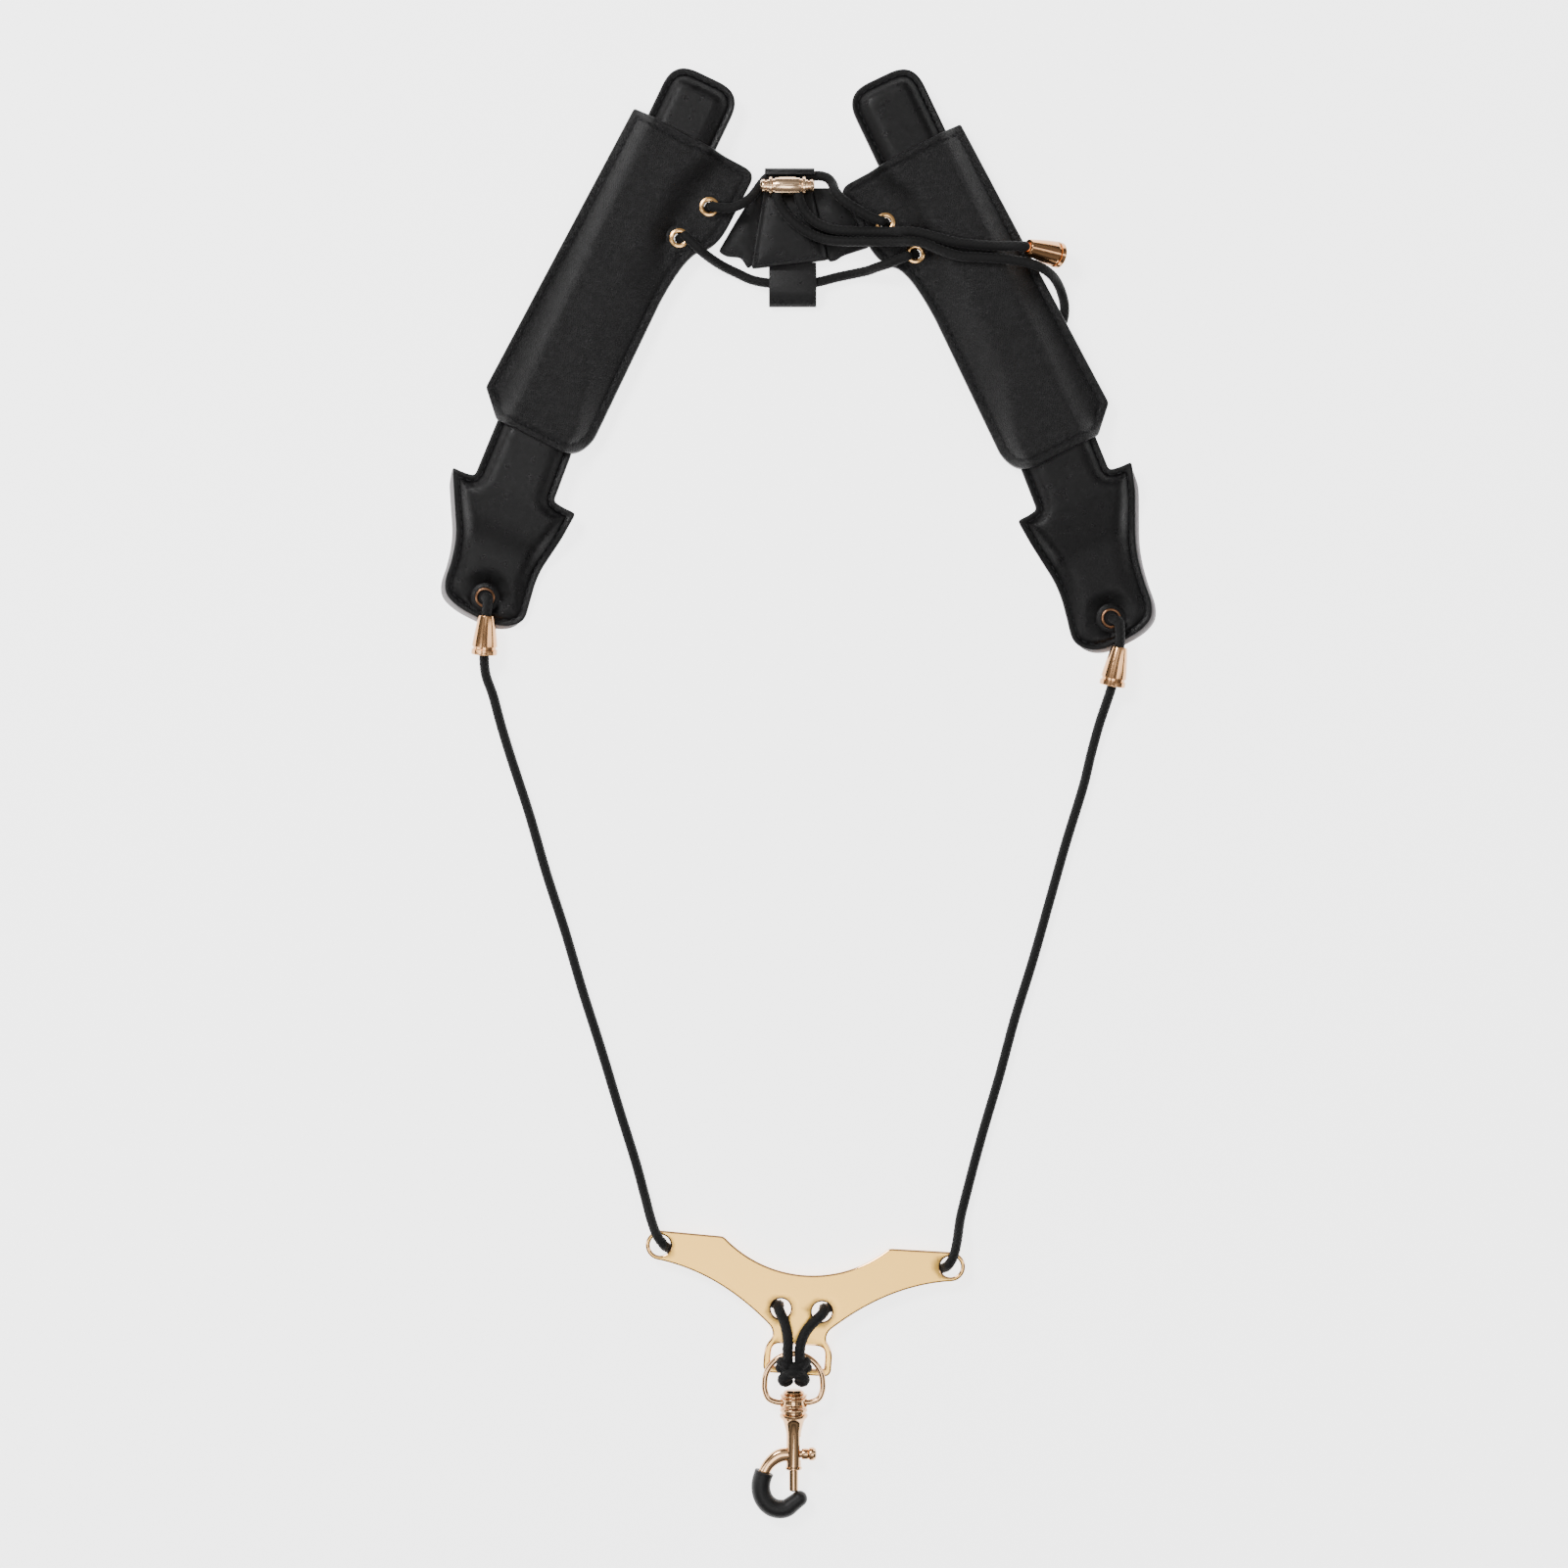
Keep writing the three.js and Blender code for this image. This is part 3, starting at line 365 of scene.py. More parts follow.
def sweep(line, sections):
    """A closed body along a line. sections is one closed loop of (side, up) points, or one
    for each point of the line."""
    sections = np.asarray(sections, float)
    if sections.ndim == 2:
        sections = np.repeat(sections[None], len(line), axis=0)
    _, side, up = directions(line)
    rings = line[:, None] + sections[..., :1] * side[:, None] + sections[..., 1:] * up[:, None]
    rows, count = sections.shape[:2]
    faces = [list(range(count))[::-1], [(rows - 1) * count + i for i in range(count)]]
    for here in range(0, (rows - 1) * count, count):
        for i in range(count):
            j = (i + 1) % count
            faces.append([here + i, here + j, here + count + j, here + count + i])
    return rings.reshape(-1, 3), faces


def rounded_ends(line, radius, start, end):
    """The share of its radius that a rod has at each point, so that an end is a dome."""
    along = length_along(line)
    share = np.ones(len(line))
    if start:
        share *= np.sqrt(np.clip(1 - np.clip(1 - along / radius, 0, 1) ** 2, 0.02, 1))
    if end:
        share *= np.sqrt(np.clip(1 - np.clip(1 - (along[-1] - along) / radius, 0, 1) ** 2, 0.02, 1))
    return share


def rod(line, radius, count=20, start=False, end=False):
    loop = circle((0, 0), radius, count)
    return sweep(line, rounded_ends(line, radius, start, end)[:, None, None] * loop)


def braid(line, start=False, end=False, radius=CORD_RADIUS, count=36):
    """A braided cord along a line in millimetres: strands that wind both ways and cross."""
    winding = length_along(line)[:, None] * BRAID_STRANDS / BRAID_PITCH
    angle = np.arange(count)[None] * 2 * math.pi / count
    left = BRAID_STRANDS * angle / (2 * math.pi) + winding
    right = BRAID_STRANDS * angle / (2 * math.pi) - winding
    over = (np.floor(left) + np.floor(right)) % 2 == 0
    crown_left = np.sin(np.pi * (left % 1))
    crown_right = np.sin(np.pi * (right % 1))
    across = np.where(over, crown_left, crown_right)
    lengthwise = np.where(over, crown_right, crown_left)
    height = np.sqrt(across) * (0.55 + 0.45 * lengthwise)
    size = radius + BRAID_RELIEF * (1.25 * height - 1)
    size *= rounded_ends(line, radius, start, end)[:, None]
    return sweep(line, np.stack([size * np.cos(angle), size * np.sin(angle)], axis=-1))


def lathe(profile, segments=48):
    """A body of revolution about Y from [radius, y] points. It closes on itself unless both
    its ends are on the axis."""
    profile = np.array(profile, float)
    closed = profile[0, 0] > 0 or profile[-1, 0] > 0
    count = len(profile)
    angles = np.arange(segments) * 2 * math.pi / segments
    rings = np.stack([
        np.outer(np.cos(angles), profile[:, 0]),
        np.tile(profile[:, 1], (segments, 1)),
        np.outer(np.sin(angles), profile[:, 0]),
    ], axis=-1)
    faces = []
    for a in range(segments):
        b = (a + 1) % segments
        for i in range(count if closed else count - 1):
            j = (i + 1) % count
            faces.append([a * count + i, a * count + j, b * count + j, b * count + i])
    return rings.reshape(-1, 3), faces


def arc(centre, radius, start, end, count=5):
    """Points of an arc, with its angles in degrees."""
    angles = np.radians(np.linspace(start, end, count))
    return [(centre[0] + radius * math.cos(a), centre[1] + radius * math.sin(a)) for a in angles]


def moved(points, matrix):
    """The points in the drawing's frame, where they already are if there is no matrix."""
    if matrix is None:
        return np.asarray(points)
    m = np.array(matrix)
    return np.asarray(points) @ m[:3, :3].T + m[:3, 3]


def turn_and_place(turn, place):
    return Matrix.Translation((*place, 0)) @ Matrix.Rotation(turn, 4, "Z")


def aimed(origin, direction):
    """A matrix that puts the origin at a point and Y along a direction."""
    turn = Vector((0, 1, 0)).rotation_difference(Vector(direction).normalized())
    return Matrix.Translation(origin) @ turn.to_matrix().to_4x4()


# Objects


def make(name, made, look, body=None, stands_for=(), matrix=None, bevel=0.0, weld=False, angle=35):
    """A mesh object from points in millimetres and faces, riding on a body."""
    points, faces, *distance = made
    mesh = bpy.data.meshes.new(name)
    mesh.from_pydata(((moved(points, matrix) + SHIFT) * MM).tolist(), [], faces)
    if distance:
        attribute = mesh.attributes.new("edge", "FLOAT", "POINT")
        attribute.data.foreach_set("value", np.asarray(distance[0], np.float32))
    if weld:
        solid = bmesh.new()
        solid.from_mesh(mesh)
        bmesh.ops.remove_doubles(solid, verts=solid.verts, dist=1e-7)
        bmesh.ops.recalc_face_normals(solid, faces=solid.faces)
        solid.to_mesh(mesh)
        solid.free()
    slot, material = LOOKS[look]
    mesh.materials.append(material)
    mesh.shade_smooth()
    mesh.set_sharp_from_angle(angle=math.radians(angle))
    obj = bpy.data.objects.new(name, mesh)
    bpy.context.scene.collection.objects.link(obj)
    if bevel:
        rounding = obj.modifiers.new("rounding", "BEVEL")
        rounding.width = bevel * MM
        rounding.segments = 3
        rounding.limit_method = "ANGLE"
        rounding.angle_limit = math.radians(angle)
        rounding.harden_normals = True
    if body:
        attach(obj, body)
    if stands_for:
        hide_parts(*([stands_for] if isinstance(stands_for, str) else stands_for))
    return obj


def cut(obj, cutters):
    """Takes the cutters out of obj and removes them."""
    for cutter in cutters:
        step = obj.modifiers.new("cut", "BOOLEAN")
        step.operation = "DIFFERENCE"
        step.solver = "EXACT"
        step.object = cutter
    bpy.context.view_layer.update()
    graph = bpy.context.evaluated_depsgraph_get()
    mesh = bpy.data.meshes.new_from_object(obj.evaluated_get(graph))
    obj.modifiers.clear()
    obj.data = mesh
    mesh.shade_smooth()
    mesh.set_sharp_from_angle(angle=math.radians(40))
    for cutter in cutters:
        bpy.data.objects.remove(cutter)


# Materials


def new_material(name, base, roughness, metallic=0.0, specular=0.5, sheen=0.0):
    material = bpy.data.materials.new(name)
    material.use_nodes = True
    shader = material.node_tree.nodes["Principled BSDF"]
    shader.inputs["Base Color"].default_value = (*base, 1)
    shader.inputs["Roughness"].default_value = roughness
    shader.inputs["Metallic"].default_value = metallic
    shader.inputs["Specular IOR Level"].default_value = specular
    shader.inputs["Sheen Weight"].default_value = sheen
    return material


def add_node(material, kind, inputs=None, **settings):
    node = material.node_tree.nodes.new("ShaderNode" + kind)
    for key, value in settings.items():
        setattr(node, key, value)
    for key, value in (inputs or {}).items():
        if isinstance(value, bpy.types.NodeSocket):
            material.node_tree.links.new(value, node.inputs[key])
        else:
            node.inputs[key].default_value = value
    return node


def shader_input(material, name, socket):
    shader = material.node_tree.nodes["Principled BSDF"]
    material.node_tree.links.new(socket, shader.inputs[name])


def place_socket(material):
    return add_node(material, "TexCoord").outputs["Object"]


def mixed_colour(material, factor, first, second):
    """A colour from the first, at factor 0, to the second, at 1."""
    mix = add_node(material, "Mix", {"Factor": factor, "A": (*first, 1), "B": (*second, 1)}, data_type="RGBA")
    return next(socket for socket in mix.outputs if socket.type == "RGBA")


def add_bump(material, height, depth, strength=1.0):
    bump = add_node(material, "Bump", {"Height": height, "Distance": depth * MM, "Strength": strength})
    shader_input(material, "Normal", bump.outputs["Normal"])


def leather(name, base, roughness, grain_size, grain_depth, specular=0.2, raw=None, raw_width=0.35):
    """Grained leather: pebbles between fine creases, with cut edges a little lighter, or raw."""
    material = new_material(name, base, roughness, specular=specular)
    place = place_socket(material)
    pebbles = add_node(material, "TexVoronoi", {"Vector": place, "Scale": 1 / (grain_size * MM)},
                       feature="DISTANCE_TO_EDGE")
    domes = add_node(material, "MapRange", {"Value": pebbles.outputs["Distance"], "From Max": 0.35},
                     interpolation_type="SMOOTHSTEP")
    fine = add_node(material, "TexNoise", {"Vector": place, "Scale": 4 / (grain_size * MM), "Detail": 3.0})
    wide = add_node(material, "TexNoise", {"Vector": place, "Scale": 0.16 / (grain_size * MM), "Detail": 2.0})
    height = add_node(material, "Math", {0: domes.outputs["Result"], 1: fine.outputs["Fac"]}, operation="ADD")
    swell = add_node(material, "Math", {0: wide.outputs["Fac"], 1: 0.5, 2: height.outputs[0]},
                     operation="MULTIPLY_ADD")
    add_bump(material, swell.outputs[0], grain_depth)
    spread = {"From Min": 0.3, "From Max": 0.7, "To Min": roughness - 0.05, "To Max": roughness + 0.07}
    patches = add_node(material, "MapRange", {"Value": wide.outputs["Fac"], **spread})
    shader_input(material, "Roughness", patches.outputs["Result"])
    edge = add_node(material, "Attribute", attribute_name="edge")
    ragged = add_node(material, "Math", {0: fine.outputs["Fac"], 1: raw_width, 2: edge.outputs["Fac"]},
                      operation="MULTIPLY_ADD")
    fade = {"From Min": 0.5 * raw_width, "From Max": 1.5 * raw_width, "To Min": 1.0, "To Max": 0.0}
    near = add_node(material, "MapRange", {"Value": ragged.outputs[0], **fade})
    lighter = raw or tuple(0.006 + 1.5 * c for c in base)
    shader_input(material, "Base Color", mixed_colour(material, near.outputs["Result"], base, lighter))
    return material


def woven(name, base):
    material = new_material(name, base, 0.7, specular=0.22, sheen=0.06)
    yarn = add_node(material, "TexNoise", {"Vector": place_socket(material), "Scale": 9000.0, "Detail": 2.0})
    add_bump(material, yarn.outputs["Fac"], 0.05, 0.6)
    return material


def metal(name, base, roughness, waviness=0.0):
    material = new_material(name, base, roughness, metallic=1.0)
    place = place_socket(material)
    haze = add_node(material, "TexNoise", {"Vector": place, "Scale": 400.0, "Detail": 4.0})
    spread = {"To Min": roughness * 0.75, "To Max": roughness * 1.25}
    mottled = add_node(material, "MapRange", {"Value": haze.outputs["Fac"], **spread})
    shader_input(material, "Roughness", mottled.outputs["Result"])
    if waviness:
        wave = add_node(material, "TexNoise", {"Vector": place, "Scale": 250.0, "Detail": 1.0})
        add_bump(material, wave.outputs["Fac"], waviness)
    return material


def satin_plate(name, base, edge_base):
    """A satin face with polished edges."""
    material = new_material(name, base, 0.3, metallic=1.0)
    edge = add_node(material, "Attribute", attribute_name="edge")
    blend = {"Value": edge.outputs["Fac"], "From Min": BEVEL - 0.1, "From Max": BEVEL + 0.1}
    face = add_node(material, "MapRange", blend, interpolation_type="SMOOTHSTEP")
    grain = add_node(material, "TexNoise", {"Vector": place_socket(material), "Scale": 2500.0, "Detail": 3.0})
    satin = add_node(material, "MapRange", {"Value": grain.outputs["Fac"], "To Min": 0.26, "To Max": 0.38})
    share = face.outputs["Result"]
    polish = add_node(
        material, "Mix", {"Factor": share, "A": 0.09, "B": satin.outputs["Result"]}, data_type="FLOAT",
    )
    shader_input(material, "Roughness", polish.outputs["Result"])
    shader_input(material, "Base Color", mixed_colour(material, share, edge_base, base))
    return material


def rubber(name, base):
    material = new_material(name, base, 0.5, specular=0.3)
    fine = add_node(material, "TexNoise", {"Vector": place_socket(material), "Scale": 3000.0, "Detail": 2.0})
    add_bump(material, fine.outputs["Fac"], 0.03, 0.7)
    return material


def looks():
    """Each look's material slot and material."""
    lining = (0.006, 0.0056, 0.006)
    raw = (0.56, 0.53, 0.54)
    return {
        "grain": ("leather", leather("grained_leather", (0.0034, 0.0032, 0.0034), 0.38, 0.9, 0.16, 0.26)),
        "soft": ("leather", leather("smooth_leather", (0.0026, 0.0024, 0.0026), 0.31, 0.55, 0.04)),
        "lining": ("lining", leather("lining_leather", lining, 0.7, 0.4, 0.03)),
        "raw_lining": ("lining", leather("raw_lining", lining, 0.8, 0.4, 0.1, raw=raw, raw_width=6.0)),
        "foam": ("foam", leather("padding", (0.03, 0.028, 0.03), 0.9, 0.5, 0.12)),
        "thread": ("leather", woven("thread", (0.012, 0.012, 0.013))),
        "cord": ("cord", woven("braided_cord", (0.003, 0.0029, 0.0029))),
        "rose": ("rose_gold", metal("rose_gold", (0.62, 0.37, 0.19), 0.13, 0.01)),
        "polished": ("rose_gold", metal("polished_gold", (0.92, 0.62, 0.38), 0.18)),
        "satin_rose": ("rose_gold", metal("satin_rose_gold", (0.60, 0.32, 0.15), 0.16)),
        "plate": ("champagne_metal", satin_plate("champagne_gold", (0.85, 0.5, 0.11), (0.66, 0.38, 0.19))),
        "brass": ("aged_brass", metal("aged_brass", (0.22, 0.11, 0.06), 0.3)),
        "bright_brass": ("aged_brass", metal("bright_brass", (0.66, 0.38, 0.15), 0.22)),
        "steel": ("spring_steel", metal("spring_steel", (0.6, 0.6, 0.62), 0.25)),
        "rubber": ("rubber", rubber("black_rubber", (0.004, 0.0038, 0.004))),
    }


LOOKS = looks()

# Cords


def free_cord(name, route, bodies, bend, nodes=(), **facts):
    """A free braided cord along a route in metres. The bodies argument is not used."""
    line = smooth_line(np.array(route) / MM, CORD_STEP)
    obj = make(name, braid(line, end=True), "cord", stands_for=nodes)
    start, end = (np.array(route[i]) + SHIFT * MM for i in bend)
    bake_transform(obj)


def held_cord(name, points, body, nodes=(), matrix=None, radius=CORD_RADIUS, start=False, end=False):
    """A short piece of cord in millimetres, held between other pieces."""
    line = smooth_line(moved(points, matrix), CORD_STEP)
    return make(name, braid(line, start, end, radius), "cord", body, nodes)


def main_cords():
    for side, length in MAIN_CORD_LENGTHS.items():
        route = MAIN_CORD_ROUTES[side]
        bell = cord_bell(f"bell_{side}", route[2], route[4], "tongues", f"cord_bell_{side}")
        free_cord(f"cord_{side}", route, ("tongues", "yoke"), (5, -5), [f"main_cord_{side}"],
                  length=length, far_end="object", lay="loose", with_pieces=[bell])


def lace():
    to_left, to_right = ("back", "sleeve_left"), ("back", "sleeve_right")
    free_cord("lace_left", LACE_ROUTES["lace_upper_left"][::-1], to_left, (2, -2), ["lace_upper_left"],
              length=0.037, far_end="object", lay="taut")
    free_cord("lace_right", LACE_ROUTES["lace_upper_right"][::-1], to_right, (2, -2), ["lace_upper_right"],
              length=0.047, far_end="object", lay="loose")
    lower = LACE_ROUTES["lace_lower"]
    middle = len(lower) // 2
    free_cord("lace_low_left", lower[: middle + 1][::-1], to_left, (1, -2), ["lace_lower"],
              length=0.056, far_end="object", lay="loose")
    free_cord("lace_low_right", lower[middle:], to_right, (1, -2),
              length=0.055, far_end="object", lay="loose")
    bell = cord_bell("bell_lace", LACE_BELL["small"], LACE_BELL["large"], "sleeve_right", "lace_bell")
    free_cord("lace_tail_long", LACE_ROUTES["lace_tail_upper"], to_right, (6, -2), ["lace_tail_upper"],
              length=0.116, far_end="fitting", lay="loose", with_pieces=[bell])
    under = LACE_ROUTES["lace_tail_lower"] + LACE_ROUTES["lace_tail_end"][1:]
    free_cord("lace_tail_under", under, to_right, (6, -12), ["lace_tail_lower", "lace_tail_end"],
              length=0.183, far_end="bare", lay="loose")


# Bells


def cord_bell(name, small, large, body, node):
    """A cone-shaped cord end, hollow from its large end, between two points in metres."""
    length = 17.0
    outside = [
        (2.3, length), *arc((3.0, length - 0.35), 0.35, 90, 0, 4), (3.6, length - 1.4),
        (4.25, length - 5.0), (4.95, length - 9.5), (5.4, 4.2), (5.45, 3.7), (4.9, 3.5), (4.9, 2.5),
        (5.5, 2.3), *arc((5.2, 0.5), 0.4, 20, -90, 6),
    ]
    hollow = [(4.95, 0.15), (4.75, 0.5), (4.4, 3.0), (3.4, 9.0), (2.3, length - 3)]
    small, large = np.array(small) / MM, np.array(large) / MM
    matrix = aimed(large, small - large)
    return make(name, lathe(outside + hollow, 56), "satin_rose", body, node, matrix, weld=True, angle=50)


# Shoulder pads


def pad_matrix(side):
    sign, (across, along) = SIDES[side], PADS[side]["place"]
    return turn_and_place(sign * PAD_ANGLE, (sign * across, along))


def tongue_matrix(side):
    sign = SIDES[side]
    lean = turn_and_place(-sign * TONGUE_LEAN, (sign * TONGUE_OFFSET, PADS[side]["barb_line"]))
    return pad_matrix(side) @ lean


def tongue_middle(side, along):
    """How far across its pad the middle of the tongue is."""
    return TONGUE_OFFSET + (along - PADS[side]["barb_line"]) * math.tan(TONGUE_LEAN)


def on_side(points, sign):
    """The points as they are on the right, for sign 1, or mirrored to the left, for -1."""
    points = np.array(points, float)
    points[:, 0] *= sign
    return points


def dent(distance, where, width, depth):
    """How a seam sinks at a distance from the edge."""
    return -depth * np.exp(-(((distance - where) / width) ** 2))


def rolled(distance, radius):
    """How much lower a rounded edge is at a distance from it."""
    t = np.clip(distance / radius, 0, 1)
    return -radius * (1 - np.sqrt(1 - (1 - t) ** 2))


def sleeve_outline():
    loop = outline(
        (28.2, SLEEVE_LENGTH),
        ("to", -25.5, SLEEVE_LENGTH),
        ("bend", -30.8, SLEEVE_LENGTH, -30.8, SLEEVE_LENGTH - 5),
        ("to", -31, 119),
        ("bend", -31, 108, -25, 103.5),
        ("bend", -20.6, 98, -20.6, 76),
        ("to", -23.2, 13),
        ("bend", -21.8, 0.5, -11, 0.3),
        ("to", 17.6, -0.2),
        ("to", 28.2, 10),
    )
    return softened(loop, 1)


def sleeve_heights(side, seam=0.7):
    """The top and bottom of a sleeve's front sheet, as functions of place in its pad."""
    # (along, across) where the sheet starts to rise, and (along, width) of its rise
    foot = [(0, -23), (14, -23), (76, -20), (92, -16), (105, -11.5), (115, -13), (SLEEVE_LENGTH, -17.5)]
    slope = [(0, 10), (14, 10), (45, 19), (82, 19), (100, 12), (112, 12), (125, 15), (SLEEVE_LENGTH, 9)]

    def arch(points):
        across, along = points[:, 0] * SIDES[side], points[:, 1]
        inner = np.interp(along, *zip(*foot))
        outer = tongue_middle(side, along) + TONGUE_HALF + 7.5
        rise = smooth((across - inner) / np.interp(along, *zip(*slope))) * smooth((outer - across) / 12)
        for centre, room in ((UPPER_EYELET, 6), (LOWER_EYELET, 5)):
            gap = np.linalg.norm(np.column_stack([across, along]) - centre, axis=1)
            rise = rise * smooth((gap - 4.4) / room)
        return rise

    def top(points, distance):
        raised = FLANGE_TOP + (SLEEVE_TOP - FLANGE_TOP) * arch(points)
        return raised + dent(distance, BORDER, 0.75, seam) + rolled(distance, 0.8)

    def bottom(points, distance):
        return np.maximum(SLEEVE_BACK[1] + 0.05, top(points, distance) - SLEEVE_SKIN)

    return top, bottom


def stitches(name, loop, top, matrix, body, keep=None, gap=BORDER, length=2.5, spacing=3.5):
    """Thread stitches on a panel, at a distance inside its outline."""
    line = inset(loop, gap)
    line = np.vstack([line, line[:1]])
    runs = np.split(line, np.where(np.linalg.norm(np.diff(line, axis=0), axis=1) > 4.0)[0] + 1)
    step = 0.5
    thread = round(length / step)
    points, faces = [], []
    for run in runs:
        if len(run) < 2:
            continue
        path = spaced(run, step)
        for first in range(0, len(path) - thread, round(spacing / step)):
            flat = path[first : first + thread + 1]
            if keep is not None and not keep(flat.mean(0)):
                continue
            height = top(flat, np.full(len(flat), gap))
            sink = 0.3 - 0.5 * np.abs(np.linspace(-1, 1, len(flat))) ** 3
            made, quads = rod(np.column_stack([flat, height + sink]), 0.24, 7, True, True)
            faces += [[i + len(points) * len(made) for i in quad] for quad in quads]
            points.append(made)
    make(name, (np.vstack(points), faces), "thread", body, matrix=matrix)


def sleeve(side):
    sign, body, matrix = SIDES[side], f"sleeve_{side}", pad_matrix(side)
    loop = on_side(sleeve_outline(), sign)
    holes = [circle((sign * x, y), 3.2) for x, y in (UPPER_EYELET, LOWER_EYELET)]
    top, bottom = sleeve_heights(side)
    front = panel(loop, top, bottom, holes=holes)
    make(f"sleeve_leather_{side}", front, "grain", body, f"sleeve_front_{side}", matrix)
    low, high = SLEEVE_BACK
    back = panel(loop, lambda p, d: high + rolled(d, 0.3), lambda p, d: low - rolled(d, 0.3), 6.0,
                 rings=(0.15, 0.4), holes=holes)
    make(f"sleeve_lining_{side}", back, "lining", body, f"sleeve_back_{side}", matrix)
    stitches(f"sleeve_stitches_{side}", loop, top, matrix, body)
    for name, (across, along) in (("upper", UPPER_EYELET), ("lower", LOWER_EYELET)):
        place = matrix @ Matrix.Translation((sign * across, along, 0))
        eyelet(f"{name}_grommet_{side}", place, low - 0.1, FLANGE_TOP, "bright_brass", body,
               f"eyelet_{name}_{side}")
    (ux, uy), (lx, ly) = UPPER_EYELET, LOWER_EYELET
    behind = [
        (ux, uy + 0.4, 6.4), (ux + 0.3, uy - 1.4, 3.4), (ux + 1.1, uy - 4.4, 2.1),
        ((ux + lx) / 2, (uy + ly) / 2, 2.0),
        (lx - 1.1, ly + 4.4, 2.1), (lx - 0.3, ly + 1.4, 3.4), (lx, ly - 0.4, 6.4),
    ]
    held_cord(f"lace_back_{side}", on_side(behind, sign), body, f"lace_behind_{side}", matrix)


def eyelet(name, place, bottom, top, look, body, node, bore=2.35):
    """A domed ring with a barrel through the leather."""
    high, rim = top + 0.6, 4.1
    profile = [
        (bore, bottom), (bore + 0.5, bottom), (bore + 0.5, top - 0.2), (rim, top - 0.15),
        *arc((rim - 0.15, top + 0.1), 0.3, -20, 100, 5),
        *arc(((bore + rim) / 2, high - 0.35), 0.35, 60, 120, 4),
        *arc((bore + 0.4, high - 0.55), 0.4, 80, 180, 5),
    ]
    upright = place @ Matrix.Rotation(math.radians(90), 4, "X")
    make(name, lathe(profile, 48), look, body, node, upright, weld=True, angle=60)


def tongue_edges(side):
    """The tail's inner and outer edges as (across, along) points, from its foot to its barbs."""
    pad = PADS[side]
    scale, room, rise = pad["tail_scale"], pad["inner_room"], pad["barb_rise"]
    inner = [(-14.5, -66), (-18.5, -65.4), (-23, -63.6), (-26.3, -60.5), (-27.8, -56.5), (-25.8, -47),
             (-23.9, -38), (-23.6, -30), (-24.8, -20), (-26.1, -10), (-26.9, -0.6)]
    outer = [(-9, -66), (-3, -65.6), (2.2, -64.4), (6.6, -61.8), (9.2, -56.5), (10.4, -47), (12, -38),
             (14.4, -30), (18.8, -20), (23.2, -10), (27, -0.6)]
    inner = np.array(inner, float)
    outer = np.array(outer, float)
    inner[:, 0] -= room * smooth((inner[:, 1] + 66) / 30)
    for edge, name in ((inner, "inner"), (outer, "outer")):
        edge[:, 1] *= scale
        edge[-1, 1] += rise[name]
    return inner, outer


def tongue_outline(side):
    inner, outer = (smooth_line(edge, 1.1) for edge in tongue_edges(side))
    half, top = TONGUE_HALF, TONGUE_LENGTH
    hidden = 7.0  # the tongue is narrower where the sleeve always hides it

    def flank(sign, tip, foot, low, high):
        steps = outline(
            tuple(tip),
            ("bend", sign * 22, foot - 1.2, sign * (half + low), foot),
            ("to", sign * (half + high), 26),
            ("to", sign * (half - hidden), 40),
            ("to", sign * (half - hidden), 140),
            ("to", sign * half, 152),
            ("to", sign * half, top - 11),
            ("bend", sign * half, top, sign * (half - 11), top),
            ("to", 0, top),
        )
        count = int(np.argmax(np.abs(steps[:, 1] - top) + np.abs(steps[:, 0]) < 1e-6)) + 1
        return steps[:count]

    rise = PADS[side]["barb_rise"]
    right = flank(1, outer[-1], rise["outer"] + 0.2, 0.5, 1.9)
    left = flank(-1, inner[-1], rise["inner"] + 0.2, 2.2, 0.3)
    return softened(np.vstack([inner, left[1:], right[::-1][1:], outer[::-1][1:]]))


def tongue_floor(along):
    return TONGUE_BASE * smooth((along + TAIL_DROP) / TAIL_DROP)


def tongue_cover_top(side):
    """The height of a tongue's cover, as a function of place in its own frame."""
    scale = PADS[side]["tail_scale"]
    hole = np.array([SIDES[side] * TAIL_EYELET[0], TAIL_EYELET[1] * scale])

    def top(points, distance):
        along = points[:, 1]
        hidden = smooth((along - 28) / 12) * smooth((152 - along) / 12)
        strap = smooth((along + 50) / 45)
        crown = (1.0 + 2.4 * strap) * smooth((distance - 2.2) / 5.5) * (1 - hidden)
        swell = 1.5 * smooth((along / scale + 60) / 16) * smooth((-6 - along / scale) / 16)
        crown += swell * smooth((distance - 2.8) / 7.5)
        flat = smooth((np.linalg.norm(points - hole, axis=1) - 4.5) / 6)
        height = tongue_floor(along) + 2.9 - 0.8 * hidden + crown * (0.35 + 0.65 * flat)
        return height + dent(distance, 2.6, 0.7, 0.6) + rolled(distance, 0.6)

    return top


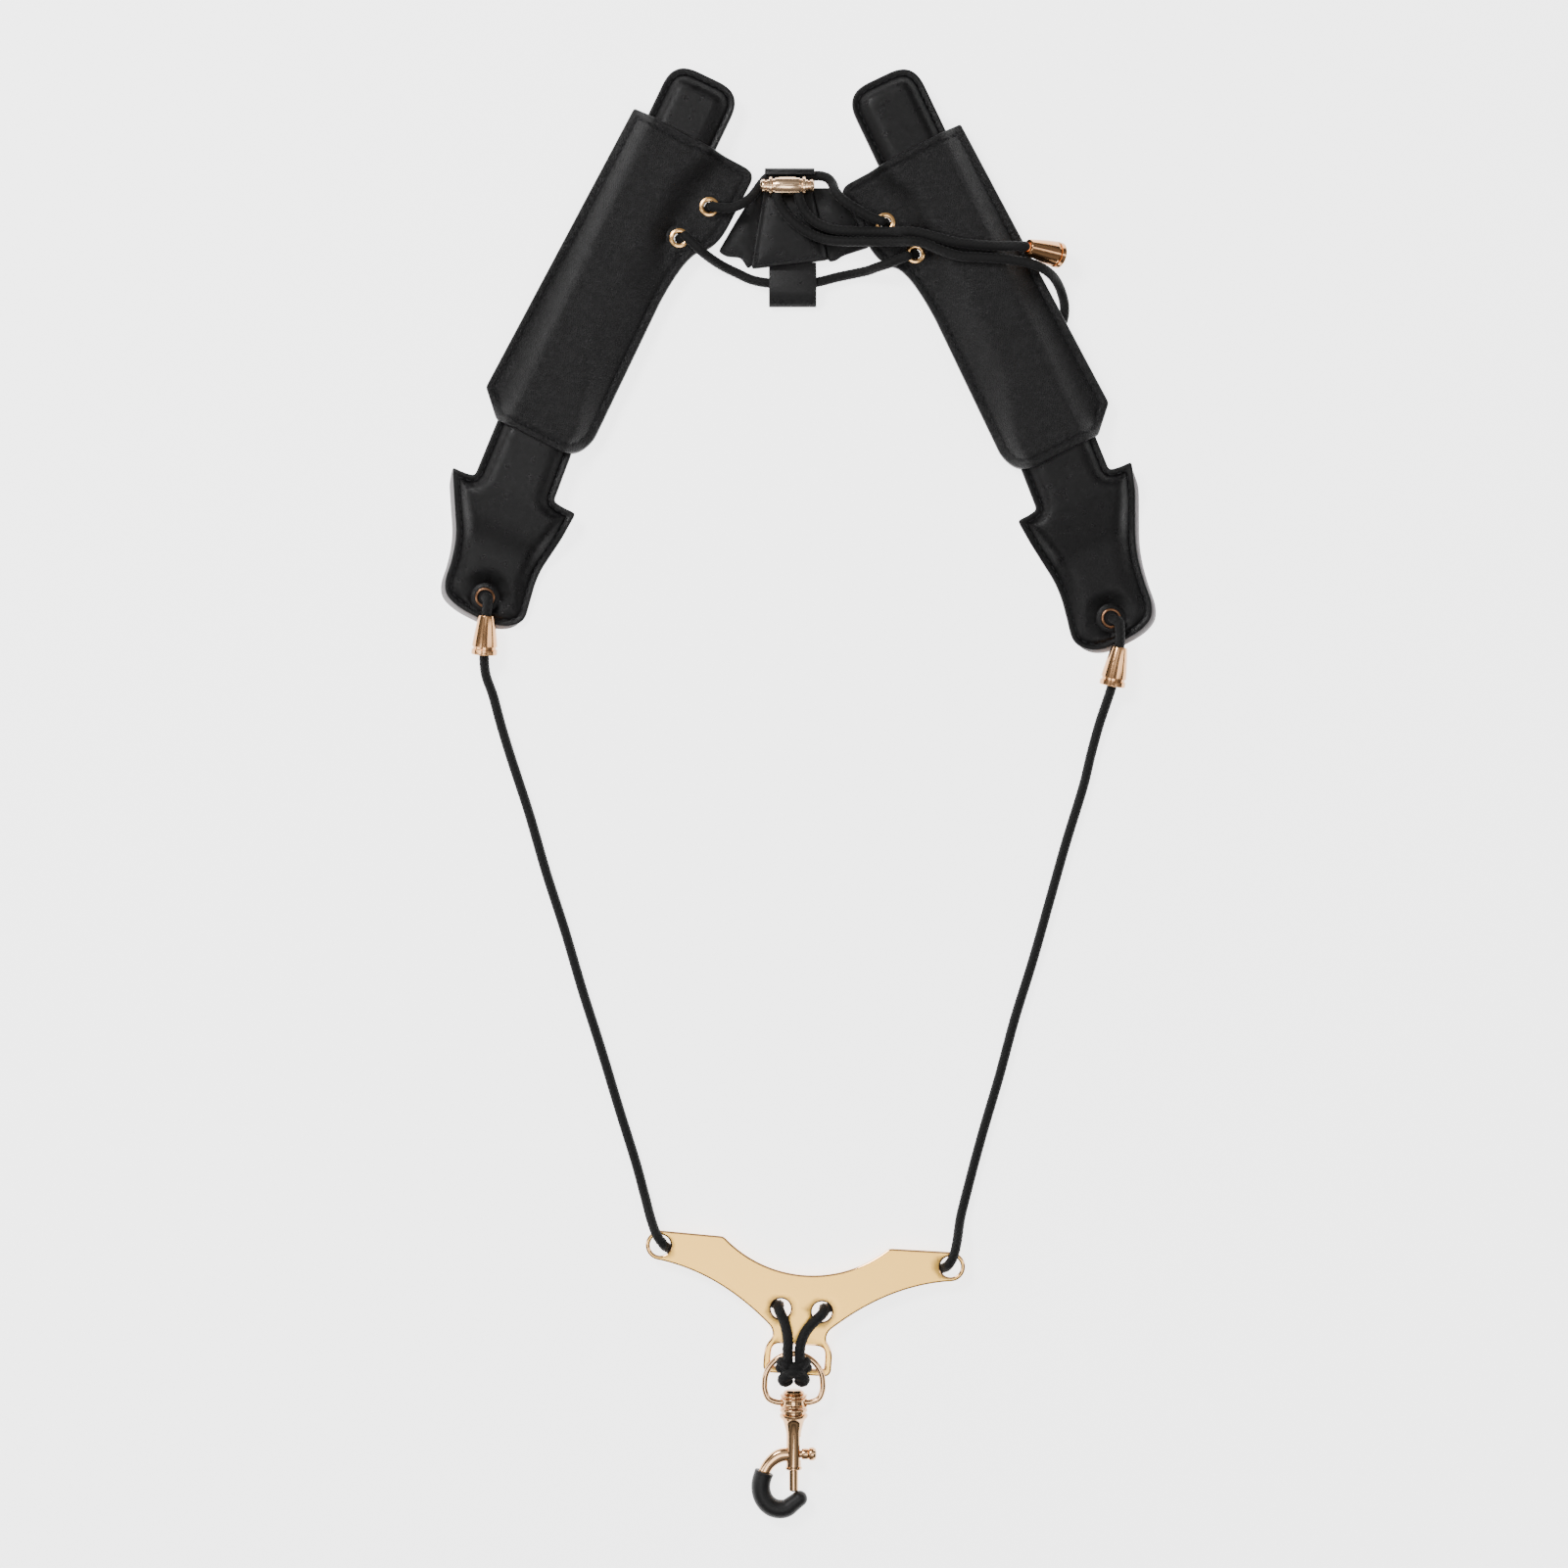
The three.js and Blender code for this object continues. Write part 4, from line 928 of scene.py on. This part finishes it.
def tongue(side):
    sign, matrix = SIDES[side], tongue_matrix(side)
    loop = on_side(tongue_outline(side), sign)
    if area_sign(loop) < 0:
        loop = loop[::-1]
    scale = PADS[side]["tail_scale"]
    hole = (sign * TAIL_EYELET[0], TAIL_EYELET[1] * scale)
    top = tongue_cover_top(side)

    def under(points, distance):
        return top(points, distance) - 1.0

    def lining_top(points, distance):
        return tongue_floor(points[:, 1]) + 0.9

    holes = [circle(hole, 3.7)]
    cover = panel(loop, top, under, 2.0, holes=holes)
    make(f"tongue_leather_{side}", cover, "soft", "tongues", f"tongue_cover_{side}", matrix)
    shy, lap = 0.35, 0.05  # the padding ends short of the edge and sinks into both sheets
    core = panel(softened(inset(loop, shy), 1), lambda p, d: under(p, d + shy) + lap,
                 lambda p, d: lining_top(p, d) - lap, 4.0, rings=(0.5, 2.0), holes=holes)
    pad = make(f"tongue_padding_{side}", core, "foam", "tongues", f"tongue_foam_{side}", matrix)
    tail = smooth(-loop[:, 1:] / 8)  # there its raw edge shows beside the cover and below it
    wider = loop + tail * (sign * 1.1, -1.9)
    lining = panel(wider, lining_top, lambda p, d: tongue_floor(p[:, 1]) - rolled(d, 0.3), 4.0,
                   rings=(0.15, 0.4, 0.8, 1.3), holes=holes)
    make(f"tongue_backing_{side}", lining, "raw_lining", "tongues", f"tongue_lining_{side}", matrix)

    def shown(point):
        return point[1] < 24 or point[1] > 156

    stitches(f"tongue_stitches_{side}", loop, top, matrix, "tongues", shown, gap=2.6)
    place = matrix @ Matrix.Translation((*hole, 0))
    height = float(top(np.array([[hole[0] + 3.6, hole[1]]]), np.array([9.0]))[0])
    eyelet(f"tail_grommet_{side}", place, 0.2, height + 0.25, "brass", "tongues", f"eyelet_tail_{side}", 3.1)
    tail_cord(side, place)


def tail_cord(side, place):
    """The knot in the tail's eyelet, and the cord that rises from it to the free cord."""
    through = [(0, 0, 0.4), (0, 0, 1.8), (0, 0, 3.2)]
    held_cord(f"tail_knot_{side}", through, "tongues", matrix=place, radius=3.4)
    centre = moved([(0, 0, 0)], place)[0]
    start, after = (np.array(point) / MM for point in MAIN_CORD_ROUTES[side][:2])
    level = start - (centre[0], centre[1], start[2])
    rises = ((0.05, 2.6), (0.2, 4.6), (0.55, 6.3))
    climb = [centre + share * level + (0, 0, height) for share, height in rises]
    held_cord(f"tail_rise_{side}", [*climb, start, after], "tongues", start=True, radius=2.12)


# Back pad


def flat_panel(name, corners, low, high, look, node, crown=0.0, seam=None):
    """A panel of the back pad, over corners in the drawing's frame with straight sides between."""
    loop = softened(outline(corners[0], *(("to", *corner) for corner in corners[1:])))

    def top(points, distance):
        height = high + crown * smooth(distance / 8) + rolled(distance, 0.5)
        return height + (dent(distance, seam, 0.6, 0.3) if seam else 0)

    make(name, panel(loop, top, lambda p, d: low - rolled(d, 0.25), 1.8), look, "back", node)
    return loop, top


def back_pad():
    flat_panel(
        "back_backing",
        [(-18.6, 259.4), (15.4, 259.4), (24.4, 247.8), (30, 234), (12.5, 228.6), (-20.6, 228.6),
         (-35, 231.8), (-28, 243.8)],
        0.0, 1.1, "lining", "back_lining",
    )
    flat_panel(
        "back_fold_left",
        [(-18.6, 259.4), (-15.0, 259.4), (-18.4, 228.2), (-22.4, 224.4), (-25.4, 229.4), (-31.6, 229.8),
         (-35.2, 232), (-27.6, 245)],
        1.1, 2.3, "soft", "back_wing_left", crown=0.5,
    )
    flat_panel(
        "back_fold_right",
        [(4.8, 259.4), (15.6, 259.4), (24.6, 247.8), (30.2, 234.2), (23, 231.8), (17.8, 230),
         (15.6, 228.2), (12.2, 227.4)],
        1.1, 2.3, "soft", "back_wing_right", crown=0.5,
    )
    loop, top = flat_panel(
        "back_middle",
        [(-15.4, 259.4), (4.9, 259.4), (12, 228.2), (-4, 226.4), (-21, 224.4)],
        2.3, 4.3, "soft", "back_panel", crown=0.7, seam=1.9,
    )

    def low_edge(point):
        return point[1] < 231.5

    stitches("back_stitches", loop, top, None, "back", low_edge, gap=1.9, length=1.8, spacing=2.6)


def strap(name, path, left, right, node, thickness=1.0, corner=0.3):
    """A leather strap bent along a path of (y, z) points, as wide as its X range."""
    line = smooth_line([((left + right) / 2, y, z) for y, z in path], 0.35)
    wide, high = (right - left) / 2 - corner, thickness / 2 - corner
    section = [
        *arc((wide, high), corner, 0, 90, 4), *arc((-wide, high), corner, 90, 180, 4),
        *arc((-wide, -high), corner, 180, 270, 4), *arc((wide, -high), corner, 270, 360, 4),
    ]
    make(name, sweep(line, section), "soft", "back", node, weld=True, angle=50)


def back_straps():
    keeper = [(257.8, 0.6), (263, 0.6), (265.6, 0.7), (266.8, 1.8), (267.0, 3.6), (266.9, 5.6), (266.2, 6.9),
              (264.4, 7.3)]
    strap("keeper", keeper, -15.2, 6.1, "keeper_loop")
    tab = [(227.6, 0.6), (219, 0.6), (211.4, 0.6), (209.2, 1.0), (208.7, 2.2), (209.6, 3.4), (212, 4.9),
           (214.8, 6.1), (218.6, 6.3), (223.4, 6.1)]
    strap("tab", tab, -13.4, 6.9, "bottom_tab")


# Cord lock


def lock_hole(x, segments):
    """A cutter for a cord's hole through the lock."""
    _, y, z = LOCK_PLACE
    tube = lathe([(0, -8), (LOCK_BORE, -8), (LOCK_BORE, 8), (0, 8)], segments)
    return make("cutter", tube, "rose", matrix=Matrix.Translation((x, y, z)), weld=True)


def lock():
    half = LOCK_HALF
    place = Matrix.Translation(LOCK_PLACE) @ Matrix.Rotation(math.radians(-90), 4, "Z")
    end = [
        (2.95, -half), (3.75, -half), (3.95, -half + 0.2), (3.95, -half + 1.1), (3.75, -half + 1.3),
        (3.3, -half + 1.5), (3.3, -half + 2.0),
    ]
    middle = [
        (3.55, -half + 2.3), *arc((3.55, -half + 2.7), 0.3, -90, 0, 3), (3.9, 0),
        *arc((3.55, half - 2.7), 0.3, 0, 90, 3), (3.55, half - 2.3),
    ]
    profile = end + middle + [(r, -y) for r, y in end[::-1]]
    barrel = make("lock_body", lathe(profile, 64), "polished", "back", "lock_barrel", place, weld=True)
    cut(barrel, [lock_hole(x, 32) for x in LOCK_HOLES.values()])
    for side, sign in SIDES.items():
        hole = sign * (LOCK_HOLES[side] - LOCK_PLACE[0])
        profile = [
            (0, hole - 2.9), (2.75, hole - 2.9), (2.75, half + 1.0), (2.3, half + 1.2), (2.3, half + 1.7),
            (2.75, half + 1.9), (2.75, half + 2.9), (2.2, half + 3.6), (1.6, half + 3.8), (0, half + 3.8),
        ]
        outward = place @ Matrix.Rotation(math.radians(90 - sign * 90), 4, "Z")
        plunger = make(f"plunger_{side}", lathe(profile, 40), "polished", f"lock_{side}",
                       f"lock_plunger_{side}", outward, weld=True)
        cut(plunger, [lock_hole(LOCK_HOLES[side] + sign * step, 24) for step in (0, 0.4, 0.8, 1.2)])


def lock_spring():
    """One spring in two halves."""
    middle = np.array(LOCK_PLACE)
    half, turns = 1.3, 1.5
    for side, sign in SIDES.items():
        angles = np.linspace(0, turns * 2 * math.pi, 37)
        along = sign * half * angles / angles[-1]
        coil = middle + np.stack([along, 2.1 * np.cos(angles), 2.1 * np.sin(angles)], axis=1)
        spring = make(f"lock_coil_{side}", rod(coil, 0.25, 8), "steel", "back", "lock_spring")
        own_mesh(spring)


# Yoke


def yoke_outline():
    rim = 6.3
    hollow, hollow_half_width, hollow_end = 52, 35.5, 5.8  # the arc between the arms
    turn = math.degrees(math.asin(hollow_half_width / hollow))
    centre = hollow_end + hollow * math.cos(math.radians(turn))
    points = [
        *arc((-YOKE_END, 0), rim, 270, 93.6, 22),
        *arc((0, centre), hollow, 270 - turn, 270 + turn, 60),
        *arc((YOKE_END, 0), rim, 86.4, -90, 22),
    ]
    loop = outline(
        points[0], *(("to", *p) for p in points[1:]),
        ("bend", 36, -10, 12.8, -30.8), ("bend", 11, -33, 11.6, -35.8), ("bend", 14.6, -39, 14.6, -43),
        ("to", 14.6, -49), ("to", 13, -50.8), ("to", -13, -50.8), ("to", -14.6, -49), ("to", -14.6, -43),
        ("bend", -14.6, -39, -11.6, -35.8), ("bend", -11, -33, -12.8, -30.8),
        ("bend", -36, -10, -YOKE_END, -rim),
    )
    keep = np.linalg.norm(loop - np.roll(loop, 1, 0), axis=1) > 0.05
    return softened(loop[keep], 1)


def yoke():
    matrix = turn_and_place(YOKE_TURN, YOKE_PLACE)
    loop = yoke_outline()
    if area_sign(loop) < 0:
        loop = loop[::-1]
    holes = [circle((sign * YOKE_END, 0), 4.5, 40) for sign in (-1, 1)]
    holes += [circle((sign * 8.8, -23.2), 4.3, 40) for sign in (-1, 1)]
    window = outline((-11.6, -47.8), ("to", 11.6, -47.8), ("to", 11.6, -42), ("bend", 11.6, -38, 8, -38),
                     ("to", -8, -38), ("bend", -11.6, -38, -11.6, -42), step=0.7)
    holes.append(softened(window, 2))
    rings = (0.06, 0.16, 0.3, 0.45, BEVEL, BEVEL + 0.2, BEVEL + 0.5)

    def top(points, distance):
        bevel = -BEVEL_SLOPE * np.maximum(BEVEL - distance, 0)
        return YOKE_TOP + bevel + rolled(distance, 0.2)

    plate = panel(loop, top, lambda p, d: YOKE_BASE - rolled(d, 0.3), 3.0, rings, holes)
    make("yoke", plate, "plate", "yoke", "yoke_plate", matrix, angle=60)
    yoke_cords(matrix)


def yoke_cords(matrix):
    """The cords behind the plate, and in front of it down to the ring."""
    behind = [
        (62.0, 2.4, 9.0), (61.1, 0.9, 8.6), (60.3, -0.1, 6.6), (60, -0.5, 4.8), (59.2, -1.0, 3.1),
        (57, -2.2, 2.1), (52, -4.4, 2.0), (44, -7.4, 2.0), (26, -15.6, 2.0), (14, -20.8, 2.0),
        (10.6, -22, 2.6), (9.6, -21.9, 4.0),
    ]
    front = {
        "left": [
            (-9.6, -21.9, 3.2), (-9.9, -22.6, 6.6), (-9.0, -24.6, 8.5), (-7.4, -27.4, 9.0),
            (-6, -31, 10), (-5, -35, 11.4), (-4.6, -38.4, 11.9), (-4.6, -39.6, 12.0),
        ],
        "right": [
            (9.6, -21.9, 3.2), (9.9, -22.6, 6.6), (8.6, -24.4, 8.5), (5.8, -27.4, 9.0),
            (3, -31, 10), (1.2, -35, 11.4), (0.6, -38.4, 11.9), (0.7, -39.6, 12.0),
        ],
    }
    for side, sign in SIDES.items():
        held_cord(f"cord_behind_{side}", on_side(behind, sign), "yoke", f"yoke_cord_{side}", matrix)
        strand = held_cord(f"strand_{side}", front[side], None, f"front_cord_{side}", matrix, THICK_CORD)
        first, last = (moved([front[side][i]], matrix)[0] + SHIFT for i in (2, -2))
        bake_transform(strand)


# Snap hook


def hook_matrix():
    return Matrix.Translation(HOOK_PLACE) @ Matrix.Rotation(HOOK_SLOPE, 4, "X")


def ring_and_collar():
    matrix = hook_matrix()
    half, height, corner = 12.4, 21.0, 6.0
    foot = [
        (4.0, -height, 0), (half - corner + 1, -height + 0.2, 0), (half - 1.6, -height + 1.8, 0),
        (half, -height + corner, 0),
    ]
    bow = [(x, y, 0) for x, y in arc((0, -half), half, 0, 180, 17)]
    route = [*foot, *bow, *on_side(foot[::-1], -1)]
    make("ring", rod(smooth_line(route, 0.5), 1.25, 20), "rose", "hook_eye", "swivel_eye", matrix)
    collar = [
        (2.2, -23), (5.2, -23), *arc((5.4, -22.5), 0.45, -60, 60, 4), (5.0, -21.8), (4.9, -21.2),
        (4.9, -20.0), *arc((5.2, -19.4), 0.5, -70, 70, 4), (4.8, -18.7), (4.8, -18.5),
        *arc((5.4, -17.95), 0.45, -60, 80, 4), (4.4, -17.4), (2.2, -17.4),
    ]
    make("collar", lathe(collar, 56), "rose", "hook_eye", matrix=matrix, weld=True, angle=50)
    rivet = [
        (0, -26), (1.9, -26), (1.9, -17.2), (4.3, -17.2), (4.5, -17.0), (4.5, -16.7),
        *arc((2.6, -17.6), 2.1, 25, 90, 6), (0, -15.5),
    ]
    make("rivet", lathe(rivet, 40), "rose", "hook", "swivel_rivet", matrix, weld=True, angle=50)


def shank():
    """The hook's turned body, bored for the bolt and slotted for its knob."""
    matrix = hook_matrix()
    profile = [
        (0, -50), (3.0, -50), (3.5, -49.6), (3.5, -48.9), (3.1, -48.5), (3.1, -34.5), (3.3, -33.2),
        (4.3, -29.6), (4.9, -28.2), (5.7, -27.4), (6.0, -26.9), (6.0, -26.2), (5.6, -25.8), (5.2, -25.6),
        (5.2, -25.0), (5.7, -24.8), (5.9, -24.4), (5.9, -23.8), (5.6, -23.4), (0, -23.4),
    ]
    obj = make("shank", lathe(profile, 64), "rose", "hook", "hook_body", matrix, weld=True)
    bore = lathe([(0, -52), (2.2, -52), (2.2, -32), (0, -32)], 32)
    corners = [(x, y, z) for x in (0, 8) for y in (-46, -35.6) for z in (-1.75, 1.75)]
    slot = corners, [[0, 1, 3, 2], [4, 6, 7, 5], [0, 4, 5, 1], [2, 3, 7, 6], [0, 2, 6, 4], [1, 5, 7, 3]]
    cut(obj, [make("cutter", solid, "rose", matrix=matrix, weld=True) for solid in (bore, slot)])


def hook_arm():
    line = smooth_line(HOOK_LINE, 0.5)
    along = np.linspace(0, 1, len(line))[:, None]
    angles = np.arange(28) * 2 * math.pi / 28
    width = 2.55 + 0.5 * np.exp(-(((along - 0.12) / 0.12) ** 2))
    side = width * np.cos(angles) * (1 - 0.04 * np.cos(2 * angles))
    up = np.broadcast_to(2.1 * np.sin(angles), side.shape)
    section = np.stack([side, up], axis=-1)
    make("hook_arm", sweep(line[3:], section[3:]), "rose", "hook", matrix=hook_matrix())


def rubber_tip():
    """The rubber sleeve over the arm, which goes on past the arm's end."""
    line = smooth_line(HOOK_LINE, 0.5)
    covered = line[int(0.36 * len(line)) :]
    beyond = covered[-1] + np.array([(2.4, 1.9, 0), (4.8, 4.0, 0)])
    line = smooth_line([*covered[::6], *beyond], 0.4)
    reach = np.linspace(0, 1, len(line))
    radius = 4.05 - 0.6 * smooth((reach - 0.6) / 0.3) + 0.12 * np.exp(-((reach / 0.03) ** 2))
    radius *= rounded_ends(line, 3.5, False, True)
    tube = sweep(line, radius[:, None, None] * circle((0, 0), 1, 36))
    make("rubber_tip", tube, "rubber", "hook", "hook_sleeve", hook_matrix(), bevel=0.35, angle=60)


def return_spring():
    matrix = hook_matrix()
    radius, turns, low, length = 1.5, 5, -40.8, 9.0
    angles = np.linspace(0, turns * 2 * math.pi, 101)
    along = low + length * angles / angles[-1]
    coil = np.stack([radius * np.cos(angles), along, radius * np.sin(angles)], axis=1)
    spring = make("return_spring", rod(coil, 0.28, 8), "steel", "hook", "bolt_spring", matrix)
    seat = moved([(0, low + length, 0)], matrix)[0] + SHIFT
    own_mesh(spring)


def sprung_bolt():
    matrix = hook_matrix()
    pin = [(0, -59.2), (1.5, -59.2), (1.95, -58.7), (1.95, -41.4), (0, -41.4)]
    make("bolt_pin", lathe(pin, 32), "rose", "bolt", "bolt", matrix, bevel=0.1, weld=True)
    knob = [
        (0, 1.6), (1.6, 1.6), (1.6, 3.4), (2.2, 3.5), (2.35, 3.8), (2.35, 5.9), (2.0, 6.2), (2.6, 6.6),
        (2.85, 7.2), (2.85, 8.4), (2.2, 9.4), (1.2, 9.75), (0, 9.85),
    ]
    across = matrix @ Matrix.Translation((0, -43.2, 0)) @ Matrix.Rotation(math.radians(-90), 4, "Z")
    make("thumb_knob", lathe(knob, 40), "rose", "bolt", "bolt_knob", across, weld=True, angle=30)


def ring_knot():
    """The two cords go over the ring, cross under it and end in two lobes."""
    matrix = hook_matrix()
    lump = {"matrix": matrix, "radius": 2.3, "start": True, "end": True}
    over = [
        (2.6, 3.6, 3.9), (2.6, 1.2, 3.75), (2.55, -1.6, 3.5), (2.4, -4.0, 2.6), (2.5, -6.6, 1.2),
        (2.8, -9.4, 0.6),
    ]
    lobe = [
        (0.6, -7.2, 2.2), (1.6, -8.6, 3.2), (3.2, -9.2, 3.2), (4.7, -10.4, 2.2), (4.0, -11.8, 1.2),
        (2.2, -11.4, 0.9), (1.2, -10.0, 1.2),
    ]
    turn = [(6.2, -3.4, 0.4), (5.2, -3.2, 2.2), (3.6, -4.2, 3.4), (1.4, -5.4, 4.2)]
    for side, sign in SIDES.items():
        held_cord(f"ring_strand_{side}", on_side(over, sign), "tongues", f"bight_{side}", matrix, THICK_CORD)
        held_cord(f"knot_lobe_{side}", on_side(lobe, sign), "tongues", **lump)
        held_cord(f"knot_turn_{side}", on_side(turn, sign), "tongues", **lump)
    ears = [
        (-7.6, -6.8, 0.9), (-5.4, -5.8, 1.5), (-3.2, -5.4, 2.6), (0, -5.3, 3.5), (3.2, -5.4, 2.6),
        (5.4, -5.8, 1.5), (7.6, -6.8, 0.9),
    ]
    held_cord("knot_cross", ears, "tongues", "ring_knot", **lump)
    wrap = [(-3.6, -8.6, 1.0), (-2.6, -7.6, 3.4), (0, -7.3, 4.6), (2.6, -7.6, 3.4), (3.6, -8.6, 1.0)]
    held_cord("knot_wrap", wrap, "tongues", **lump)


# Stage


def floor():
    """A white light table, so that the harness's shadows stay soft and pale."""
    bpy.ops.mesh.primitive_plane_add(size=6, location=(0, 0, -0.0002))
    plane = bpy.context.object
    plane.name = "floor"
    white = new_material("pale_floor", (0.86, 0.86, 0.86), 0.8, specular=0.1)
    shader = white.node_tree.nodes["Principled BSDF"]
    shader.inputs["Emission Color"].default_value = (1, 1, 1, 1)
    shader.inputs["Emission Strength"].default_value = 3.0
    plane.data.materials.append(white)


def area_light(name, place, size, power, target=(0, 0, 0)):
    lamp = bpy.data.lights.new(name, "AREA")
    lamp.shape = "RECTANGLE"
    lamp.size, lamp.size_y = size
    lamp.energy = power
    obj = bpy.data.objects.new(name, lamp)
    obj.location = place
    obj.rotation_euler = (Vector(target) - Vector(place)).to_track_quat("-Z", "Y").to_euler()
    bpy.context.scene.collection.objects.link(obj)


def sky():
    """Soft light from overhead and from the horizon, with a darker band between them that
    gives the polished metal its contrast."""
    world = bpy.data.worlds.new("studio")
    bpy.context.scene.world = world
    world.use_nodes = True
    tree = world.node_tree
    place = tree.nodes.new("ShaderNodeTexCoord")
    split = tree.nodes.new("ShaderNodeSeparateXYZ")
    ramp = tree.nodes.new("ShaderNodeValToRGB")
    background = tree.nodes["Background"]
    background.inputs["Strength"].default_value = SKY_STRENGTH
    tree.links.new(place.outputs["Generated"], split.inputs["Vector"])
    tree.links.new(split.outputs["Z"], ramp.inputs["Fac"])
    tree.links.new(ramp.outputs["Color"], background.inputs["Color"])
    stops = ramp.color_ramp.elements
    while len(stops) < len(SKY):
        stops.new(0.5)
    for stop, (height, brightness) in zip(stops, SKY):
        stop.position = height
        stop.color = (brightness, brightness, brightness, 1)


def lights():
    area_light("key", (-0.9, 1.05, 1.5), (0.6, 0.6), 32, (0, 0.15, 0))
    area_light("left_window", (-1.5, -0.1, 1.1), (0.35, 1.8), 9)
    area_light("right_window", (1.5, 0.1, 1.3), (0.35, 1.8), 7)
    area_light("over_pads", (-0.05, 0.52, 2.0), (0.9, 0.4), 1.6, (0, 0.25, 0))
    area_light("over_yoke", (-0.12, -0.55, 2.0), (1.0, 0.8), 13, (-0.02, -0.22, 0))
    sky()


def camera():
    data = bpy.data.cameras.new("camera")
    data.sensor_width = 36
    data.lens = data.sensor_width * VIEW_HEIGHT / VIEW_WIDTH
    obj = bpy.data.objects.new("camera", data)
    obj.location = (*VIEW_CENTRE, VIEW_HEIGHT)
    bpy.context.scene.collection.objects.link(obj)
    bpy.context.scene.camera = obj


camera()
main_cords()
lace()
for pad_side in SIDES:
    sleeve(pad_side)
    tongue(pad_side)
back_pad()
back_straps()
lock()
lock_spring()
yoke()
ring_and_collar()
shank()
hook_arm()
rubber_tip()
return_spring()
sprung_bolt()
ring_knot()
floor()
lights()
